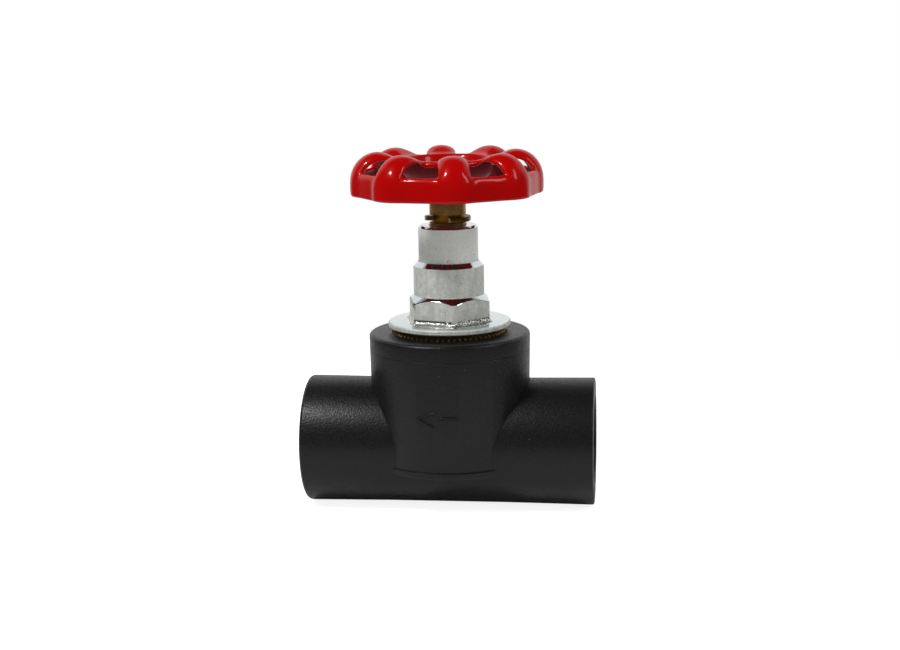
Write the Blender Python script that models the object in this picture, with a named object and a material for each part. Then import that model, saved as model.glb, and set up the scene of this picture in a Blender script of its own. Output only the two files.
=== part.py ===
"""Stop valve for a welded plastic pipe run, modelled as the pieces that come apart on a bench.

Metres, +Z up. The origin is where the pipe axis (X) meets the spindle axis (Z). Water enters
the socket at +X, rises through the seat and leaves by the socket at -X. The valve is closed:
the plunger's washer rests on the seat.
"""
import math

import bmesh
import bpy
from mathutils import Matrix

MM = 0.001

# Clearance between pieces that touch, screw together or slide
GAP = 0.3 * MM

# Pipe run: the moulded body's straight length and its two welding sockets
RUN_LENGTH = 106.0 * MM
SOCKET_BORE = 31.5 * MM
SOCKET_WALL = 7.55 * MM
SOCKET_DEPTH = 20.0 * MM
SOCKET_LEAD = 0.8 * MM
RIM_ROUND = 1.5 * MM
RUN_DRAFT = 0.3 * MM
FLOW_BORE = 24.0 * MM

# Partition: the seat's height, and the passages below and above it
CHAMBER_FLOOR = 5.0 * MM
CHAMBER_WIDTH = 31.0 * MM
DUCT_BORE = 17.0 * MM
DUCT_FALL = 8.0 * MM
OUTLET_BORE = 14.0 * MM
PASSAGE_BEND = 19.0 * MM
PASSAGE_STEPS = 6

# Neck: the round tower that holds the threaded insert
NECK_TOP = 41.0 * MM
NECK_FOOT = -7.5 * MM
NECK_WALL = 8.3 * MM
NECK_DRAFT = 0.8 * MM
NECK_RIM_ROUND = 1.5 * MM
FOOT_BAND_HEIGHT = 2.3 * MM
FOOT_BAND_STEP = 0.4 * MM

# Seat bush in the partition
SEAT_BORE = 16.0 * MM
SEAT_WALL = 2.5 * MM
SEAT_LENGTH = 6.5 * MM
SEAT_PROUD = 2.0 * MM
SEAT_LAND = 1.0 * MM

# Knurled insert in the neck
SHANK_OD = 33.25 * MM
SHANK_LENGTH = 17.7 * MM
INSERT_WALL = 2.5 * MM
INSERT_LENGTH = 18.9 * MM
INSERT_PROUD = 1.9 * MM
KNURL_STAND = 1.4 * MM
KNURL_PROUD = 0.8 * MM
KNURL_DEPTH = 0.5 * MM
KNURL_TEETH = 64
KNURL_BAND = 6.0 * MM
LOCK_BAND = 5.0 * MM
LOCK_SIDES = 12
INSERT_GROOVE_DEPTH = 1.5 * MM
COUNTERBORE_DEPTH = 1.9 * MM
COUNTERBORE_WIDEN = 1.4 * MM

# Bonnet, from its flange up
FLANGE_OD = 44.6 * MM
FLANGE_THICK = 1.9 * MM
FLANGE_ROUND = 0.7 * MM
HEX_FLATS = 27.5 * MM
HEX_CORNERS = 31.4 * MM
HEX_HEIGHT = 9.55 * MM
HEX_FILLET = 1.8 * MM
HEX_FOOT_STEP = 0.2 * MM
HEX_CONE = 2.05 * MM
HEX_TURN = math.radians(14.0)
BARREL_OD = 25.6 * MM
BARREL_LENGTH = 10.45 * MM
CONE_LENGTH = 2.3 * MM
NOSE_OD = 21.6 * MM
NOSE_LENGTH = 12.6 * MM
EDGE_BREAK = 0.4 * MM
BEARING_LENGTH = 14.8 * MM
PISTON_BORE_LENGTH = 13.5 * MM

# Share of the hexagon guide's half width that is bored round before the flats are cut
GUIDE_PILOT_SHARE = 0.9

# Spindle
SPINDLE_OD = 13.2 * MM
COLLAR_STAND = 1.6 * MM
COLLAR_THICK = 3.6 * MM
THRUST_WASHER_THICK = 0.7 * MM
DRIVE_OD = 12.0 * MM
DRIVE_LENGTH = 20.3 * MM
WHEEL_RISE = 11.7 * MM
SQUARE = 7.0 * MM
SQUARE_LENGTH = 5.4 * MM
SCREW_OD = 5.0 * MM
SCREW_LENGTH = 12.0 * MM
SCREW_HEAD_OD = 9.0 * MM
SCREW_HEAD_HEIGHT = 2.6 * MM
WHEEL_WASHER_OD = 13.0 * MM
WHEEL_WASHER_THICK = 1.0 * MM

# Spindle seals and clip
SEAL_SECTION = 1.1 * MM
SEAL_SPACING = 5.0 * MM
LOWER_SEAL_RISE = 4.5 * MM
CLIP_RISE = 1.6 * MM
CLIP_THICK = 1.7 * MM
CLIP_OD = 16.6 * MM
CLIP_GROOVE_DEPTH = 1.1 * MM
CLIP_MOUTH = math.radians(40.0)
CLIP_FACING = math.radians(-97.0)

# Plunger and its washer
TRAVEL = 8.0 * MM
TOP_CLEARANCE = 0.5 * MM
GRIP_FLATS = 16.8 * MM
GRIP_LENGTH = 11.8 * MM
PISTON_OD = 18.4 * MM
PISTON_LENGTH = 5.5 * MM
PISTON_SEAL_SECTION = 1.3 * MM
STEM_OD = 11.0 * MM
DRIVE_HOLE_DEPTH = 20.8 * MM
WASHER_OD = 19.4 * MM
WASHER_THICK = 3.5 * MM
CUP_WALL = 1.2 * MM
CUP_FLOOR_THICK = 2.0 * MM
CUP_SKIRT = 1.8 * MM
PLATE_OD = 12.0 * MM
PLATE_THICK = 1.2 * MM
WASHER_SCREW_OD = 4.0 * MM
WASHER_SCREW_LENGTH = 12.5 * MM
WASHER_SCREW_HEAD_OD = 7.2 * MM
WASHER_SCREW_HEAD_HEIGHT = 2.2 * MM

# Handwheel, heights from the underside of its hub
LOBES = 8
LOBE_TURN = math.radians(11.8)
WHEEL_OD = 69.8 * MM
WHEEL_WALL = 2.0 * MM
HUB_OD = 17.0 * MM
HUB_HEIGHT = 6.0 * MM
SKIRT_DROP = 0.95 * MM
DISH_WIDTH = 29.0 * MM
DISH_CORNER = 3.0 * MM
RING_WIDTH = 34.0 * MM
RING_ROUND = 1.4 * MM
RING_HEIGHT = 12.0 * MM
LIP_DROP = 2.2 * MM
CREST_HEIGHT = 14.65 * MM
CREST_WIDTH = 49.6 * MM
LOBE_FALL = 13.1 * MM
WINDOW_EDGE_HEIGHT = 7.35 * MM
WINDOW_EDGE_INSET = 1.76 * MM
SCALLOP = 2.2 * MM
SKIRT_ROUND = 2.2 * MM
LOBE_WIDTH_AT_RING = 9.8 * MM
LOBE_WIDTH_AT_SKIRT = 12.4 * MM

# How slowly a lobe starts to climb from the ring, as a power of its smooth rise
LOBE_CLIMB_POWER = 1.5

# Facets round the large turned pieces, and round hollows and small pieces
SIDES = 48
SMALL_SIDES = 24

# Levels and radii that follow from the sizes above
END_X = RUN_LENGTH / 2
RUN_RADIUS = SOCKET_BORE / 2 + SOCKET_WALL
SHANK_RADIUS = SHANK_OD / 2
INSERT_BORE_RADIUS = SHANK_RADIUS + GAP
BOSS_RADIUS = INSERT_BORE_RADIUS + INSERT_WALL
KNURL_RADIUS = BOSS_RADIUS + KNURL_STAND
POCKET_RADIUS = KNURL_RADIUS + GAP
NECK_RADIUS = POCKET_RADIUS + NECK_WALL
INSERT_BASE = NECK_TOP + INSERT_PROUD - INSERT_LENGTH
FLANGE_BASE = NECK_TOP + INSERT_PROUD + GAP
HEX_BASE = FLANGE_BASE + FLANGE_THICK
BARREL_BASE = HEX_BASE + HEX_HEIGHT
CONE_BASE = BARREL_BASE + BARREL_LENGTH
NOSE_BASE = CONE_BASE + CONE_LENGTH
NOSE_TOP = NOSE_BASE + NOSE_LENGTH
SHOULDER = NOSE_TOP - BEARING_LENGTH
SPINDLE_RADIUS = SPINDLE_OD / 2
COLLAR_RADIUS = SPINDLE_RADIUS + COLLAR_STAND
COLLAR_TOP = SHOULDER - 2 * GAP - THRUST_WASHER_THICK
COLLAR_BASE = COLLAR_TOP - COLLAR_THICK
HUB_BASE = NOSE_TOP + WHEEL_RISE + GAP
SEAT_CREST = CHAMBER_FLOOR + SEAT_PROUD
SEAT_RADIUS = SEAT_BORE / 2 + SEAT_WALL
WASHER_BASE = SEAT_CREST + GAP
CUP_FLOOR = WASHER_BASE + WASHER_THICK + GAP
PLUNGER_TOP = COLLAR_BASE - TOP_CLEARANCE - TRAVEL
GRIP_BASE = PLUNGER_TOP - GRIP_LENGTH
PISTON_RADIUS = PISTON_OD / 2
PISTON_BORE_RADIUS = PISTON_RADIUS + GAP
PISTON_BORE_TOP = FLANGE_BASE - SHANK_LENGTH + PISTON_BORE_LENGTH
PISTON_TOP = PISTON_BORE_TOP - TRAVEL - TOP_CLEARANCE
PISTON_BASE = PISTON_TOP - PISTON_LENGTH


def clear_scene():
    for item in list(bpy.data.objects):
        bpy.data.objects.remove(item, do_unlink=True)


def make_finish(name, colour, roughness, metallic):
    finish = bpy.data.materials.new(name)
    finish.use_nodes = True
    shader = finish.node_tree.nodes["Principled BSDF"]
    shader.inputs["Base Color"].default_value = (*colour, 1.0)
    shader.inputs["Roughness"].default_value = roughness
    shader.inputs["Metallic"].default_value = metallic
    return finish


def black_plastic(name):
    return make_finish(name, (0.018, 0.019, 0.019), 0.5, 0.0)


def raw_brass(name):
    return make_finish(name, (0.35, 0.2, 0.06), 0.35, 1.0)


def plated_brass(name):
    return make_finish(name, (0.55, 0.57, 0.55), 0.3, 1.0)


def red_enamel(name):
    return make_finish(name, (0.5, 0.004, 0.003), 0.12, 0.0)


def black_rubber(name):
    return make_finish(name, (0.02, 0.02, 0.02), 0.7, 0.0)


def bright_steel(name):
    return make_finish(name, (0.6, 0.6, 0.6), 0.3, 1.0)


def slip_plastic(name):
    return make_finish(name, (0.8, 0.8, 0.76), 0.4, 0.0)


def finished_mesh(name, bm):
    """Close the bmesh into a mesh whose faces point out, smooth apart from its real edges."""
    bmesh.ops.remove_doubles(bm, verts=bm.verts, dist=0.000001)
    bmesh.ops.recalc_face_normals(bm, faces=bm.faces)
    mesh = bpy.data.meshes.new(name)
    bm.to_mesh(mesh)
    bm.free()
    mesh.shade_smooth()
    mesh.set_sharp_from_angle(angle=math.radians(32.0))
    return mesh


def arc(centre_radius, centre_height, radius, start, end, steps):
    """Points (radius, height) round an arc, angles in degrees from the outward direction."""
    points = []
    for step in range(steps + 1):
        angle = math.radians(start + (end - start) * step / steps)
        across = centre_radius + radius * math.cos(angle)
        up = centre_height + radius * math.sin(angle)
        points.append((across, up))
    return points


def turned(name, outline, sides=SIDES):
    """Spin an outline of (radius, height) points once round Z.

    An outline that starts and ends on the axis gives a solid, any other one a closed ring.
    """
    bm = bmesh.new()
    points = [bm.verts.new((radius, 0.0, height)) for radius, height in outline]
    pairs = list(zip(points, points[1:]))
    if outline[0][0] > 0.0:
        pairs.append((points[-1], points[0]))
    edges = [bm.edges.new(pair) for pair in pairs]
    bmesh.ops.spin(
        bm,
        geom=points + edges,
        axis=(0.0, 0.0, 1.0),
        cent=(0.0, 0.0, 0.0),
        steps=sides,
        angle=2 * math.pi,
    )
    return finished_mesh(name, bm)


def lie_along_x(mesh):
    """Turn a mesh spun round Z so that its axis lies along +X."""
    mesh.transform(Matrix.Rotation(math.pi / 2, 4, "Y"))
    return mesh


def prism(name, width_across_flats, sides, base, top, turn=0.0):
    """A regular prism with one corner at the given turn from +X."""
    bm = bmesh.new()
    bmesh.ops.create_cone(
        bm,
        cap_ends=True,
        segments=sides,
        radius1=width_across_flats / 2 / math.cos(math.pi / sides),
        radius2=width_across_flats / 2 / math.cos(math.pi / sides),
        depth=top - base,
        matrix=Matrix.Translation((0.0, 0.0, (base + top) / 2)) @ Matrix.Rotation(turn, 4, "Z"),
    )
    return finished_mesh(name, bm)


def lofted(name, rings):
    """Skin a row of rings with equal point counts and cap both ends."""
    bm = bmesh.new()
    rows = [[bm.verts.new(point) for point in ring] for ring in rings]
    for row, following in zip(rows, rows[1:]):
        for index in range(len(row)):
            after = (index + 1) % len(row)
            bm.faces.new((row[index], row[after], following[after], following[index]))
    bm.faces.new(rows[0])
    bm.faces.new(rows[-1])
    return finished_mesh(name, bm)


def add_piece(name, mesh, finish, group, height=0.0):
    """A named piece on the spindle axis, with its own origin at the given world height."""
    piece = bpy.data.objects.new(name, mesh)
    bpy.context.collection.objects.link(piece)
    mesh.materials.append(finish(name + "_finish"))
    piece.parent = group
    piece.location = (0.0, 0.0, height - group.location.z)
    return piece


def combine(piece, tool_mesh, operation):
    """Cut or join a hidden shape, given in the piece's own coordinates."""
    tool = bpy.data.objects.new(tool_mesh.name, tool_mesh)
    bpy.context.collection.objects.link(tool)
    tool.parent = piece
    tool.hide_render = True
    tool.display_type = "WIRE"
    step = piece.modifiers.new(tool_mesh.name, "BOOLEAN")
    step.operation = operation
    step.solver = "EXACT"
    step.object = tool


def add_group(name, height):
    group = bpy.data.objects.new(name, None)
    bpy.context.collection.objects.link(group)
    group.location = (0.0, 0.0, height)
    return group


def eased(share):
    """Smooth step from 0 to 1."""
    share = min(max(share, 0.0), 1.0)
    return share * share * (3 - 2 * share)


def run_outline():
    """Half section of the body's straight run, drafted to a waist and rounded at both rims."""
    corner = RUN_RADIUS - RIM_ROUND
    waist_radius = RUN_RADIUS - RUN_DRAFT
    waist = [(waist_radius, -POCKET_RADIUS), (waist_radius, POCKET_RADIUS)]
    near = arc(corner, -END_X + RIM_ROUND, RIM_ROUND, -90.0, 0.0, 3)
    far = arc(corner, END_X - RIM_ROUND, RIM_ROUND, 0.0, 90.0, 3)
    return [(0.0, -END_X)] + near + waist + far + [(0.0, END_X)]


def neck_outline():
    """Half section of the neck: foot band, drafted wall and rounded top rim."""
    foot_radius = NECK_RADIUS - NECK_DRAFT
    band_radius = foot_radius + FOOT_BAND_STEP
    band_top = NECK_FOOT + FOOT_BAND_HEIGHT
    rim = arc(NECK_RADIUS - NECK_RIM_ROUND, NECK_TOP - NECK_RIM_ROUND, NECK_RIM_ROUND, 0.0, 90.0, 3)
    foot = [
        (0.0, NECK_FOOT),
        (band_radius - FOOT_BAND_STEP, NECK_FOOT),
        (band_radius, NECK_FOOT + FOOT_BAND_STEP),
        (band_radius, band_top - FOOT_BAND_STEP),
        (foot_radius, band_top),
    ]
    return foot + rim + [(0.0, NECK_TOP)]


def socket_outline():
    """Half section of one socket's hollow, its mouth at height zero and running upward."""
    radius = SOCKET_BORE / 2
    overrun = SOCKET_LEAD
    return [
        (0.0, -overrun),
        (radius + SOCKET_LEAD + overrun, -overrun),
        (radius, SOCKET_LEAD),
        (radius, SOCKET_DEPTH),
        (FLOW_BORE / 2, SOCKET_DEPTH),
        (FLOW_BORE / 2, SOCKET_DEPTH + 2 * SOCKET_LEAD),
        (0.0, SOCKET_DEPTH + 2 * SOCKET_LEAD),
    ]


def chamber_outline():
    """Half section of the hollow above the partition: seat pocket, chamber and insert pocket."""
    pocket_base = SEAT_CREST - SEAT_LENGTH - GAP
    return [
        (0.0, -DUCT_FALL),
        (SEAT_BORE / 2, -DUCT_FALL),
        (SEAT_BORE / 2, pocket_base),
        (SEAT_RADIUS + GAP, pocket_base),
        (SEAT_RADIUS + GAP, CHAMBER_FLOOR),
        (CHAMBER_WIDTH / 2, CHAMBER_FLOOR),
        (CHAMBER_WIDTH / 2, INSERT_BASE - GAP),
        (POCKET_RADIUS, INSERT_BASE - GAP),
        (POCKET_RADIUS, NECK_TOP + GAP),
        (0.0, NECK_TOP + GAP),
    ]


def passage(name, side, shift, end_radius, closed_end):
    """A bent water way: upright round sections from a socket in towards the seat.

    side is +1 or -1 along X, shift is the height that the centre gains on the way, and
    closed_end says whether it ends in a dome under the seat or opens into the chamber.
    """
    start_x = END_X - SOCKET_DEPTH + SOCKET_LEAD / 2
    bend_end = start_x - PASSAGE_BEND
    steps = range(PASSAGE_STEPS + 1)
    stations = [start_x - PASSAGE_BEND * step / PASSAGE_STEPS for step in steps]
    if closed_end:
        dome = [end_radius * math.sin(math.radians(angle)) for angle in (0, 30, 55, 75)]
        stations += [0.0 - reach for reach in dome]
    else:
        stations.append(bend_end / 2)
    rings = []
    for station in stations:
        share = eased((start_x - station) / PASSAGE_BEND)
        radius = FLOW_BORE / 2 + (end_radius - FLOW_BORE / 2) * share
        if closed_end and station < 0.0:
            radius = math.sqrt(end_radius ** 2 - station ** 2)
        ring = []
        for step in range(SMALL_SIDES):
            angle = 2 * math.pi * step / SMALL_SIDES
            across = radius * math.cos(angle)
            up = shift * share + radius * math.sin(angle)
            ring.append((side * station, across, up))
        rings.append(ring)
    return lofted(name, rings)


def build_valve_body(group):
    mesh = lie_along_x(turned("valve_body", run_outline()))
    body = add_piece("valve_body", mesh, black_plastic, group)
    combine(body, turned("neck_tower", neck_outline()), "UNION")
    outlet_hollow = lie_along_x(turned("outlet_hollow", socket_outline(), SMALL_SIDES))
    inlet_hollow = outlet_hollow.copy()
    inlet_hollow.name = "inlet_hollow"
    outlet_hollow.transform(Matrix.Translation((-END_X, 0.0, 0.0)))
    inlet_hollow.transform(Matrix.Translation((END_X, 0.0, 0.0)) @ Matrix.Rotation(math.pi, 4, "Z"))
    combine(body, outlet_hollow, "DIFFERENCE")
    combine(body, inlet_hollow, "DIFFERENCE")
    combine(body, passage("inlet_passage", 1, -DUCT_FALL, DUCT_BORE / 2, True), "DIFFERENCE")
    rise = CHAMBER_FLOOR + OUTLET_BORE / 2 + GAP
    combine(body, passage("outlet_passage", -1, rise, OUTLET_BORE / 2, False), "DIFFERENCE")
    combine(body, turned("chamber_hollow", chamber_outline(), SMALL_SIDES), "DIFFERENCE")


def build_seat_ring(group):
    bore = SEAT_BORE / 2
    outline = [
        (bore, 0.0),
        (SEAT_RADIUS, 0.0),
        (SEAT_RADIUS, SEAT_LENGTH - SEAT_PROUD),
        (bore + SEAT_LAND, SEAT_LENGTH),
        (bore + SEAT_LAND / 2, SEAT_LENGTH),
        (bore, SEAT_LENGTH - SEAT_LAND / 2),
    ]
    add_piece("seat_ring", turned("seat_ring", outline), raw_brass, group, SEAT_CREST - SEAT_LENGTH)


def insert_outline():
    """Half section of the insert's core, still solid: a waist below and the boss above."""
    waist = KNURL_RADIUS - KNURL_DEPTH - INSERT_GROOVE_DEPTH
    boss_base = INSERT_LENGTH - INSERT_PROUD + KNURL_PROUD - KNURL_BAND / 2
    return [
        (0.0, 0.0),
        (waist, 0.0),
        (waist, boss_base),
        (BOSS_RADIUS, boss_base),
        (BOSS_RADIUS, INSERT_LENGTH),
        (0.0, INSERT_LENGTH),
    ]


def insert_bore_outline():
    """Half section of the insert's threaded bore and the counterbore for its seal."""
    counterbore = INSERT_BORE_RADIUS + COUNTERBORE_WIDEN
    return [
        (0.0, -GAP),
        (INSERT_BORE_RADIUS, -GAP),
        (INSERT_BORE_RADIUS, INSERT_LENGTH - COUNTERBORE_DEPTH),
        (counterbore, INSERT_LENGTH - COUNTERBORE_DEPTH),
        (counterbore, INSERT_LENGTH + GAP),
        (0.0, INSERT_LENGTH + GAP),
    ]


def knurled_band(base, top):
    """A disc of straight knurl, two facets to a tooth."""
    rings = []
    for height in (base, top):
        ring = []
        for step in range(2 * KNURL_TEETH):
            radius = KNURL_RADIUS - KNURL_DEPTH * (step % 2)
            angle = math.pi * step / KNURL_TEETH
            ring.append((radius * math.cos(angle), radius * math.sin(angle), height))
        rings.append(ring)
    return lofted("knurled_band", rings)


def build_neck_insert(group):
    """A knurled band shows above the plastic and a twelve-sided one locks the insert's foot."""
    mesh = turned("neck_insert", insert_outline())
    insert = add_piece("neck_insert", mesh, raw_brass, group, INSERT_BASE)
    knurl_top = INSERT_LENGTH - INSERT_PROUD + KNURL_PROUD
    combine(insert, knurled_band(knurl_top - KNURL_BAND, knurl_top), "UNION")
    lock_flats = 2 * (KNURL_RADIUS - KNURL_DEPTH) * math.cos(math.pi / LOCK_SIDES)
    combine(insert, prism("lock_band", lock_flats, LOCK_SIDES, 0.0, LOCK_BAND), "UNION")
    combine(insert, turned("insert_bore", insert_bore_outline(), SMALL_SIDES), "DIFFERENCE")


def add_seal(name, finish, group, inner_radius, outer_radius, middle):
    """A rubber ring between two radii, its middle at the given world height."""
    section = (outer_radius - inner_radius) / 2
    centre = (outer_radius + inner_radius) / 2
    outline = arc(centre, 0.0, section, 30.0, 330.0, 5)
    add_piece(name, turned(name, outline, SMALL_SIDES), finish, group, middle)


def build_insert_seals(group):
    groove_radius = KNURL_RADIUS - KNURL_DEPTH - INSERT_GROOVE_DEPTH
    groove_middle = INSERT_BASE + (INSERT_LENGTH - INSERT_PROUD + KNURL_PROUD) / 2
    add_seal(
        "insert_seal_ring",
        black_rubber,
        group,
        groove_radius + GAP,
        POCKET_RADIUS - GAP,
        groove_middle,
    )
    counterbore = INSERT_BORE_RADIUS + COUNTERBORE_WIDEN
    add_seal(
        "bonnet_oring",
        black_rubber,
        group,
        SHANK_RADIUS + GAP,
        counterbore - GAP,
        FLANGE_BASE - GAP - COUNTERBORE_DEPTH / 2,
    )


def bonnet_outline():
    """Half section of the bonnet's outside, from the foot of its shank up to its nose."""
    hex_radius = HEX_CORNERS / 2
    flange_radius = FLANGE_OD / 2
    barrel = BARREL_OD / 2
    nose = NOSE_OD / 2
    flange_edge = arc(
        flange_radius - FLANGE_ROUND, FLANGE_THICK - FLANGE_ROUND, FLANGE_ROUND, 0.0, 90.0, 3
    )
    hex_top = FLANGE_THICK + HEX_HEIGHT
    cone_base = hex_top + BARREL_LENGTH
    nose_base = cone_base + CONE_LENGTH
    nose_top = nose_base + NOSE_LENGTH
    return (
        [
            (0.0, -SHANK_LENGTH),
            (SHANK_RADIUS - EDGE_BREAK, -SHANK_LENGTH),
            (SHANK_RADIUS, -SHANK_LENGTH + EDGE_BREAK),
            (SHANK_RADIUS, 0.0),
            (flange_radius - EDGE_BREAK, 0.0),
            (flange_radius, EDGE_BREAK),
        ]
        + flange_edge
        + [
            (hex_radius + HEX_FILLET, FLANGE_THICK),
            (hex_radius, FLANGE_THICK + HEX_FILLET),
            (hex_radius, hex_top - HEX_CONE),
            (barrel, hex_top),
            (barrel, cone_base - EDGE_BREAK),
            (barrel - EDGE_BREAK, cone_base),
            (nose, nose_base),
            (nose, nose_top - EDGE_BREAK),
            (nose - EDGE_BREAK, nose_top),
            (0.0, nose_top),
        ]
    )


def bonnet_bore_outline():
    """Half section of the bonnet's round hollows: piston bore, collar chamber, spindle bore."""
    foot = -SHANK_LENGTH
    collar_base = COLLAR_BASE - GAP - FLANGE_BASE
    shoulder = SHOULDER - FLANGE_BASE
    top = NOSE_TOP - FLANGE_BASE
    guide = (GRIP_FLATS / 2 + GAP) * GUIDE_PILOT_SHARE
    return [
        (0.0, foot - GAP),
        (PISTON_BORE_RADIUS + EDGE_BREAK + GAP, foot - GAP),
        (PISTON_BORE_RADIUS, foot + EDGE_BREAK),
        (PISTON_BORE_RADIUS, foot + PISTON_BORE_LENGTH),
        (guide, foot + PISTON_BORE_LENGTH),
        (guide, collar_base),
        (COLLAR_RADIUS + GAP, collar_base),
        (COLLAR_RADIUS + GAP, shoulder),
        (SPINDLE_RADIUS + GAP, shoulder),
        (SPINDLE_RADIUS + GAP, top - EDGE_BREAK),
        (SPINDLE_RADIUS + GAP + EDGE_BREAK + GAP, top + GAP),
        (0.0, top + GAP),
    ]


def hex_trimmer():
    """A six-sided ring that cuts the turned blank to its hexagon and leaves a fillet at its foot."""
    inner = HEX_FLATS / 2 / math.cos(math.pi / 6)
    outer = FLANGE_OD / 2
    step = FLANGE_THICK + HEX_FOOT_STEP
    fillet_top = FLANGE_THICK + HEX_FILLET
    top = FLANGE_THICK + HEX_HEIGHT
    section = (
        (inner, fillet_top),
        (inner + HEX_FILLET - HEX_FOOT_STEP, step),
        (outer, step),
        (outer, top),
        (inner, top),
    )
    bm = bmesh.new()
    rows = []
    for radius, height in section:
        row = []
        for corner in range(6):
            angle = -math.pi / 2 + HEX_TURN + corner * math.pi / 3
            row.append(bm.verts.new((radius * math.cos(angle), radius * math.sin(angle), height)))
        rows.append(row)
    for row, following in zip(rows, rows[1:] + rows[:1]):
        for corner in range(6):
            after = (corner + 1) % 6
            bm.faces.new((row[corner], row[after], following[after], following[corner]))
    return finished_mesh("hex_trimmer", bm)


def build_bonnet(group):
    bonnet = add_piece(
        "bonnet", turned("bonnet", bonnet_outline()), plated_brass, group, FLANGE_BASE
    )
    combine(bonnet, hex_trimmer(), "DIFFERENCE")
    combine(bonnet, turned("bonnet_bore", bonnet_bore_outline(), SMALL_SIDES), "DIFFERENCE")
    guide_base = PISTON_BORE_TOP - FLANGE_BASE - EDGE_BREAK
    guide_top = COLLAR_BASE - FLANGE_BASE - GAP
    guide = prism("hex_guide", GRIP_FLATS + 2 * GAP, 6, guide_base, guide_top, HEX_TURN)
    combine(bonnet, guide, "DIFFERENCE")


def build_thrust_washer(group):
    inner = SPINDLE_RADIUS + GAP
    outline = [
        (inner, 0.0),
        (COLLAR_RADIUS, 0.0),
        (COLLAR_RADIUS, THRUST_WASHER_THICK),
        (inner, THRUST_WASHER_THICK),
    ]
    mesh = turned("thrust_washer", outline, SMALL_SIDES)
    add_piece("thrust_washer", mesh, slip_plastic, group, COLLAR_TOP + GAP)


def seal_heights():
    """World heights of the middles of the two spindle seals."""
    lower = SHOULDER + LOWER_SEAL_RISE
    return lower, lower + SEAL_SPACING


def groove(middle, depth, height):
    """Outline of a groove in the spindle, going up."""
    radius = SPINDLE_RADIUS
    return [
        (radius, middle - height / 2),
        (radius - depth, middle - height / 2),
        (radius - depth, middle + height / 2),
        (radius, middle + height / 2),
    ]


def spindle_outline():
    """Half section of the spindle, heights from the underside of its collar."""
    drive = DRIVE_OD / 2
    outline = [
        (0.0, -DRIVE_LENGTH),
        (drive - EDGE_BREAK, -DRIVE_LENGTH),
        (drive, -DRIVE_LENGTH + EDGE_BREAK),
        (drive, 0.0),
        (COLLAR_RADIUS, 0.0),
        (COLLAR_RADIUS, COLLAR_THICK),
        (SPINDLE_RADIUS, COLLAR_THICK),
    ]
    for middle in seal_heights():
        outline += groove(middle - COLLAR_BASE, SEAL_SECTION + GAP, SEAL_SECTION + 3 * GAP)
    clip_middle = NOSE_TOP + CLIP_RISE + CLIP_THICK / 2 - COLLAR_BASE
    outline += groove(clip_middle, CLIP_GROOVE_DEPTH, CLIP_THICK + 2 * GAP)
    top = NOSE_TOP + WHEEL_RISE - COLLAR_BASE
    return outline + [
        (SPINDLE_RADIUS, top - EDGE_BREAK),
        (SPINDLE_RADIUS - EDGE_BREAK, top),
        (0.0, top),
    ]


def build_spindle(group):
    spindle = add_piece(
        "spindle", turned("spindle", spindle_outline(), SMALL_SIDES), raw_brass, group, COLLAR_BASE
    )
    top = NOSE_TOP + WHEEL_RISE - COLLAR_BASE
    square_top = top + SQUARE_LENGTH
    square = prism("spindle_square", SQUARE, 4, top - GAP, square_top, math.pi / 4)
    combine(spindle, square, "UNION")
    hole_base = square_top - SCREW_LENGTH
    tapped = prism("tapped_hole", SCREW_OD + 2 * GAP, 16, hole_base, square_top + GAP)
    combine(spindle, tapped, "DIFFERENCE")


def build_spindle_seals(group):
    lower, upper = seal_heights()
    inner = SPINDLE_RADIUS - SEAL_SECTION
    add_seal("spindle_oring_lower", black_rubber, group, inner, SPINDLE_RADIUS, lower)
    add_seal("spindle_oring_upper", black_rubber, group, inner, SPINDLE_RADIUS, upper)


def build_spindle_clip(group):
    """A flat ring with a mouth, swept from one end of the opening round to the other."""
    inner = SPINDLE_RADIUS - CLIP_GROOVE_DEPTH + GAP
    outer = CLIP_OD / 2
    section = ((inner, 0.0), (outer, 0.0), (outer, CLIP_THICK), (inner, CLIP_THICK))
    rings = []
    steps = SMALL_SIDES
    for step in range(steps + 1):
        sweep = CLIP_MOUTH / 2 + (2 * math.pi - CLIP_MOUTH) * step / steps
        angle = CLIP_FACING + sweep
        rings.append([(r * math.cos(angle), r * math.sin(angle), z) for r, z in section])
    mesh = lofted("spindle_clip", rings)
    add_piece("spindle_clip", mesh, raw_brass, group, NOSE_TOP + CLIP_RISE)


def dish_and_ring():
    """Wheel section shared by lobes and valleys: dish floor, dish wall and inner half of ring."""
    wall = DISH_WIDTH / 2
    ring = RING_WIDTH / 2
    corner = arc(wall - DISH_CORNER, HUB_HEIGHT + DISH_CORNER, DISH_CORNER, -90.0, -10.0, 2)
    crest = arc(ring, RING_HEIGHT - RING_ROUND, RING_ROUND, 170.0, 90.0, 2)
    return [(HUB_OD / 4, HUB_HEIGHT)] + corner + crest


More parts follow.
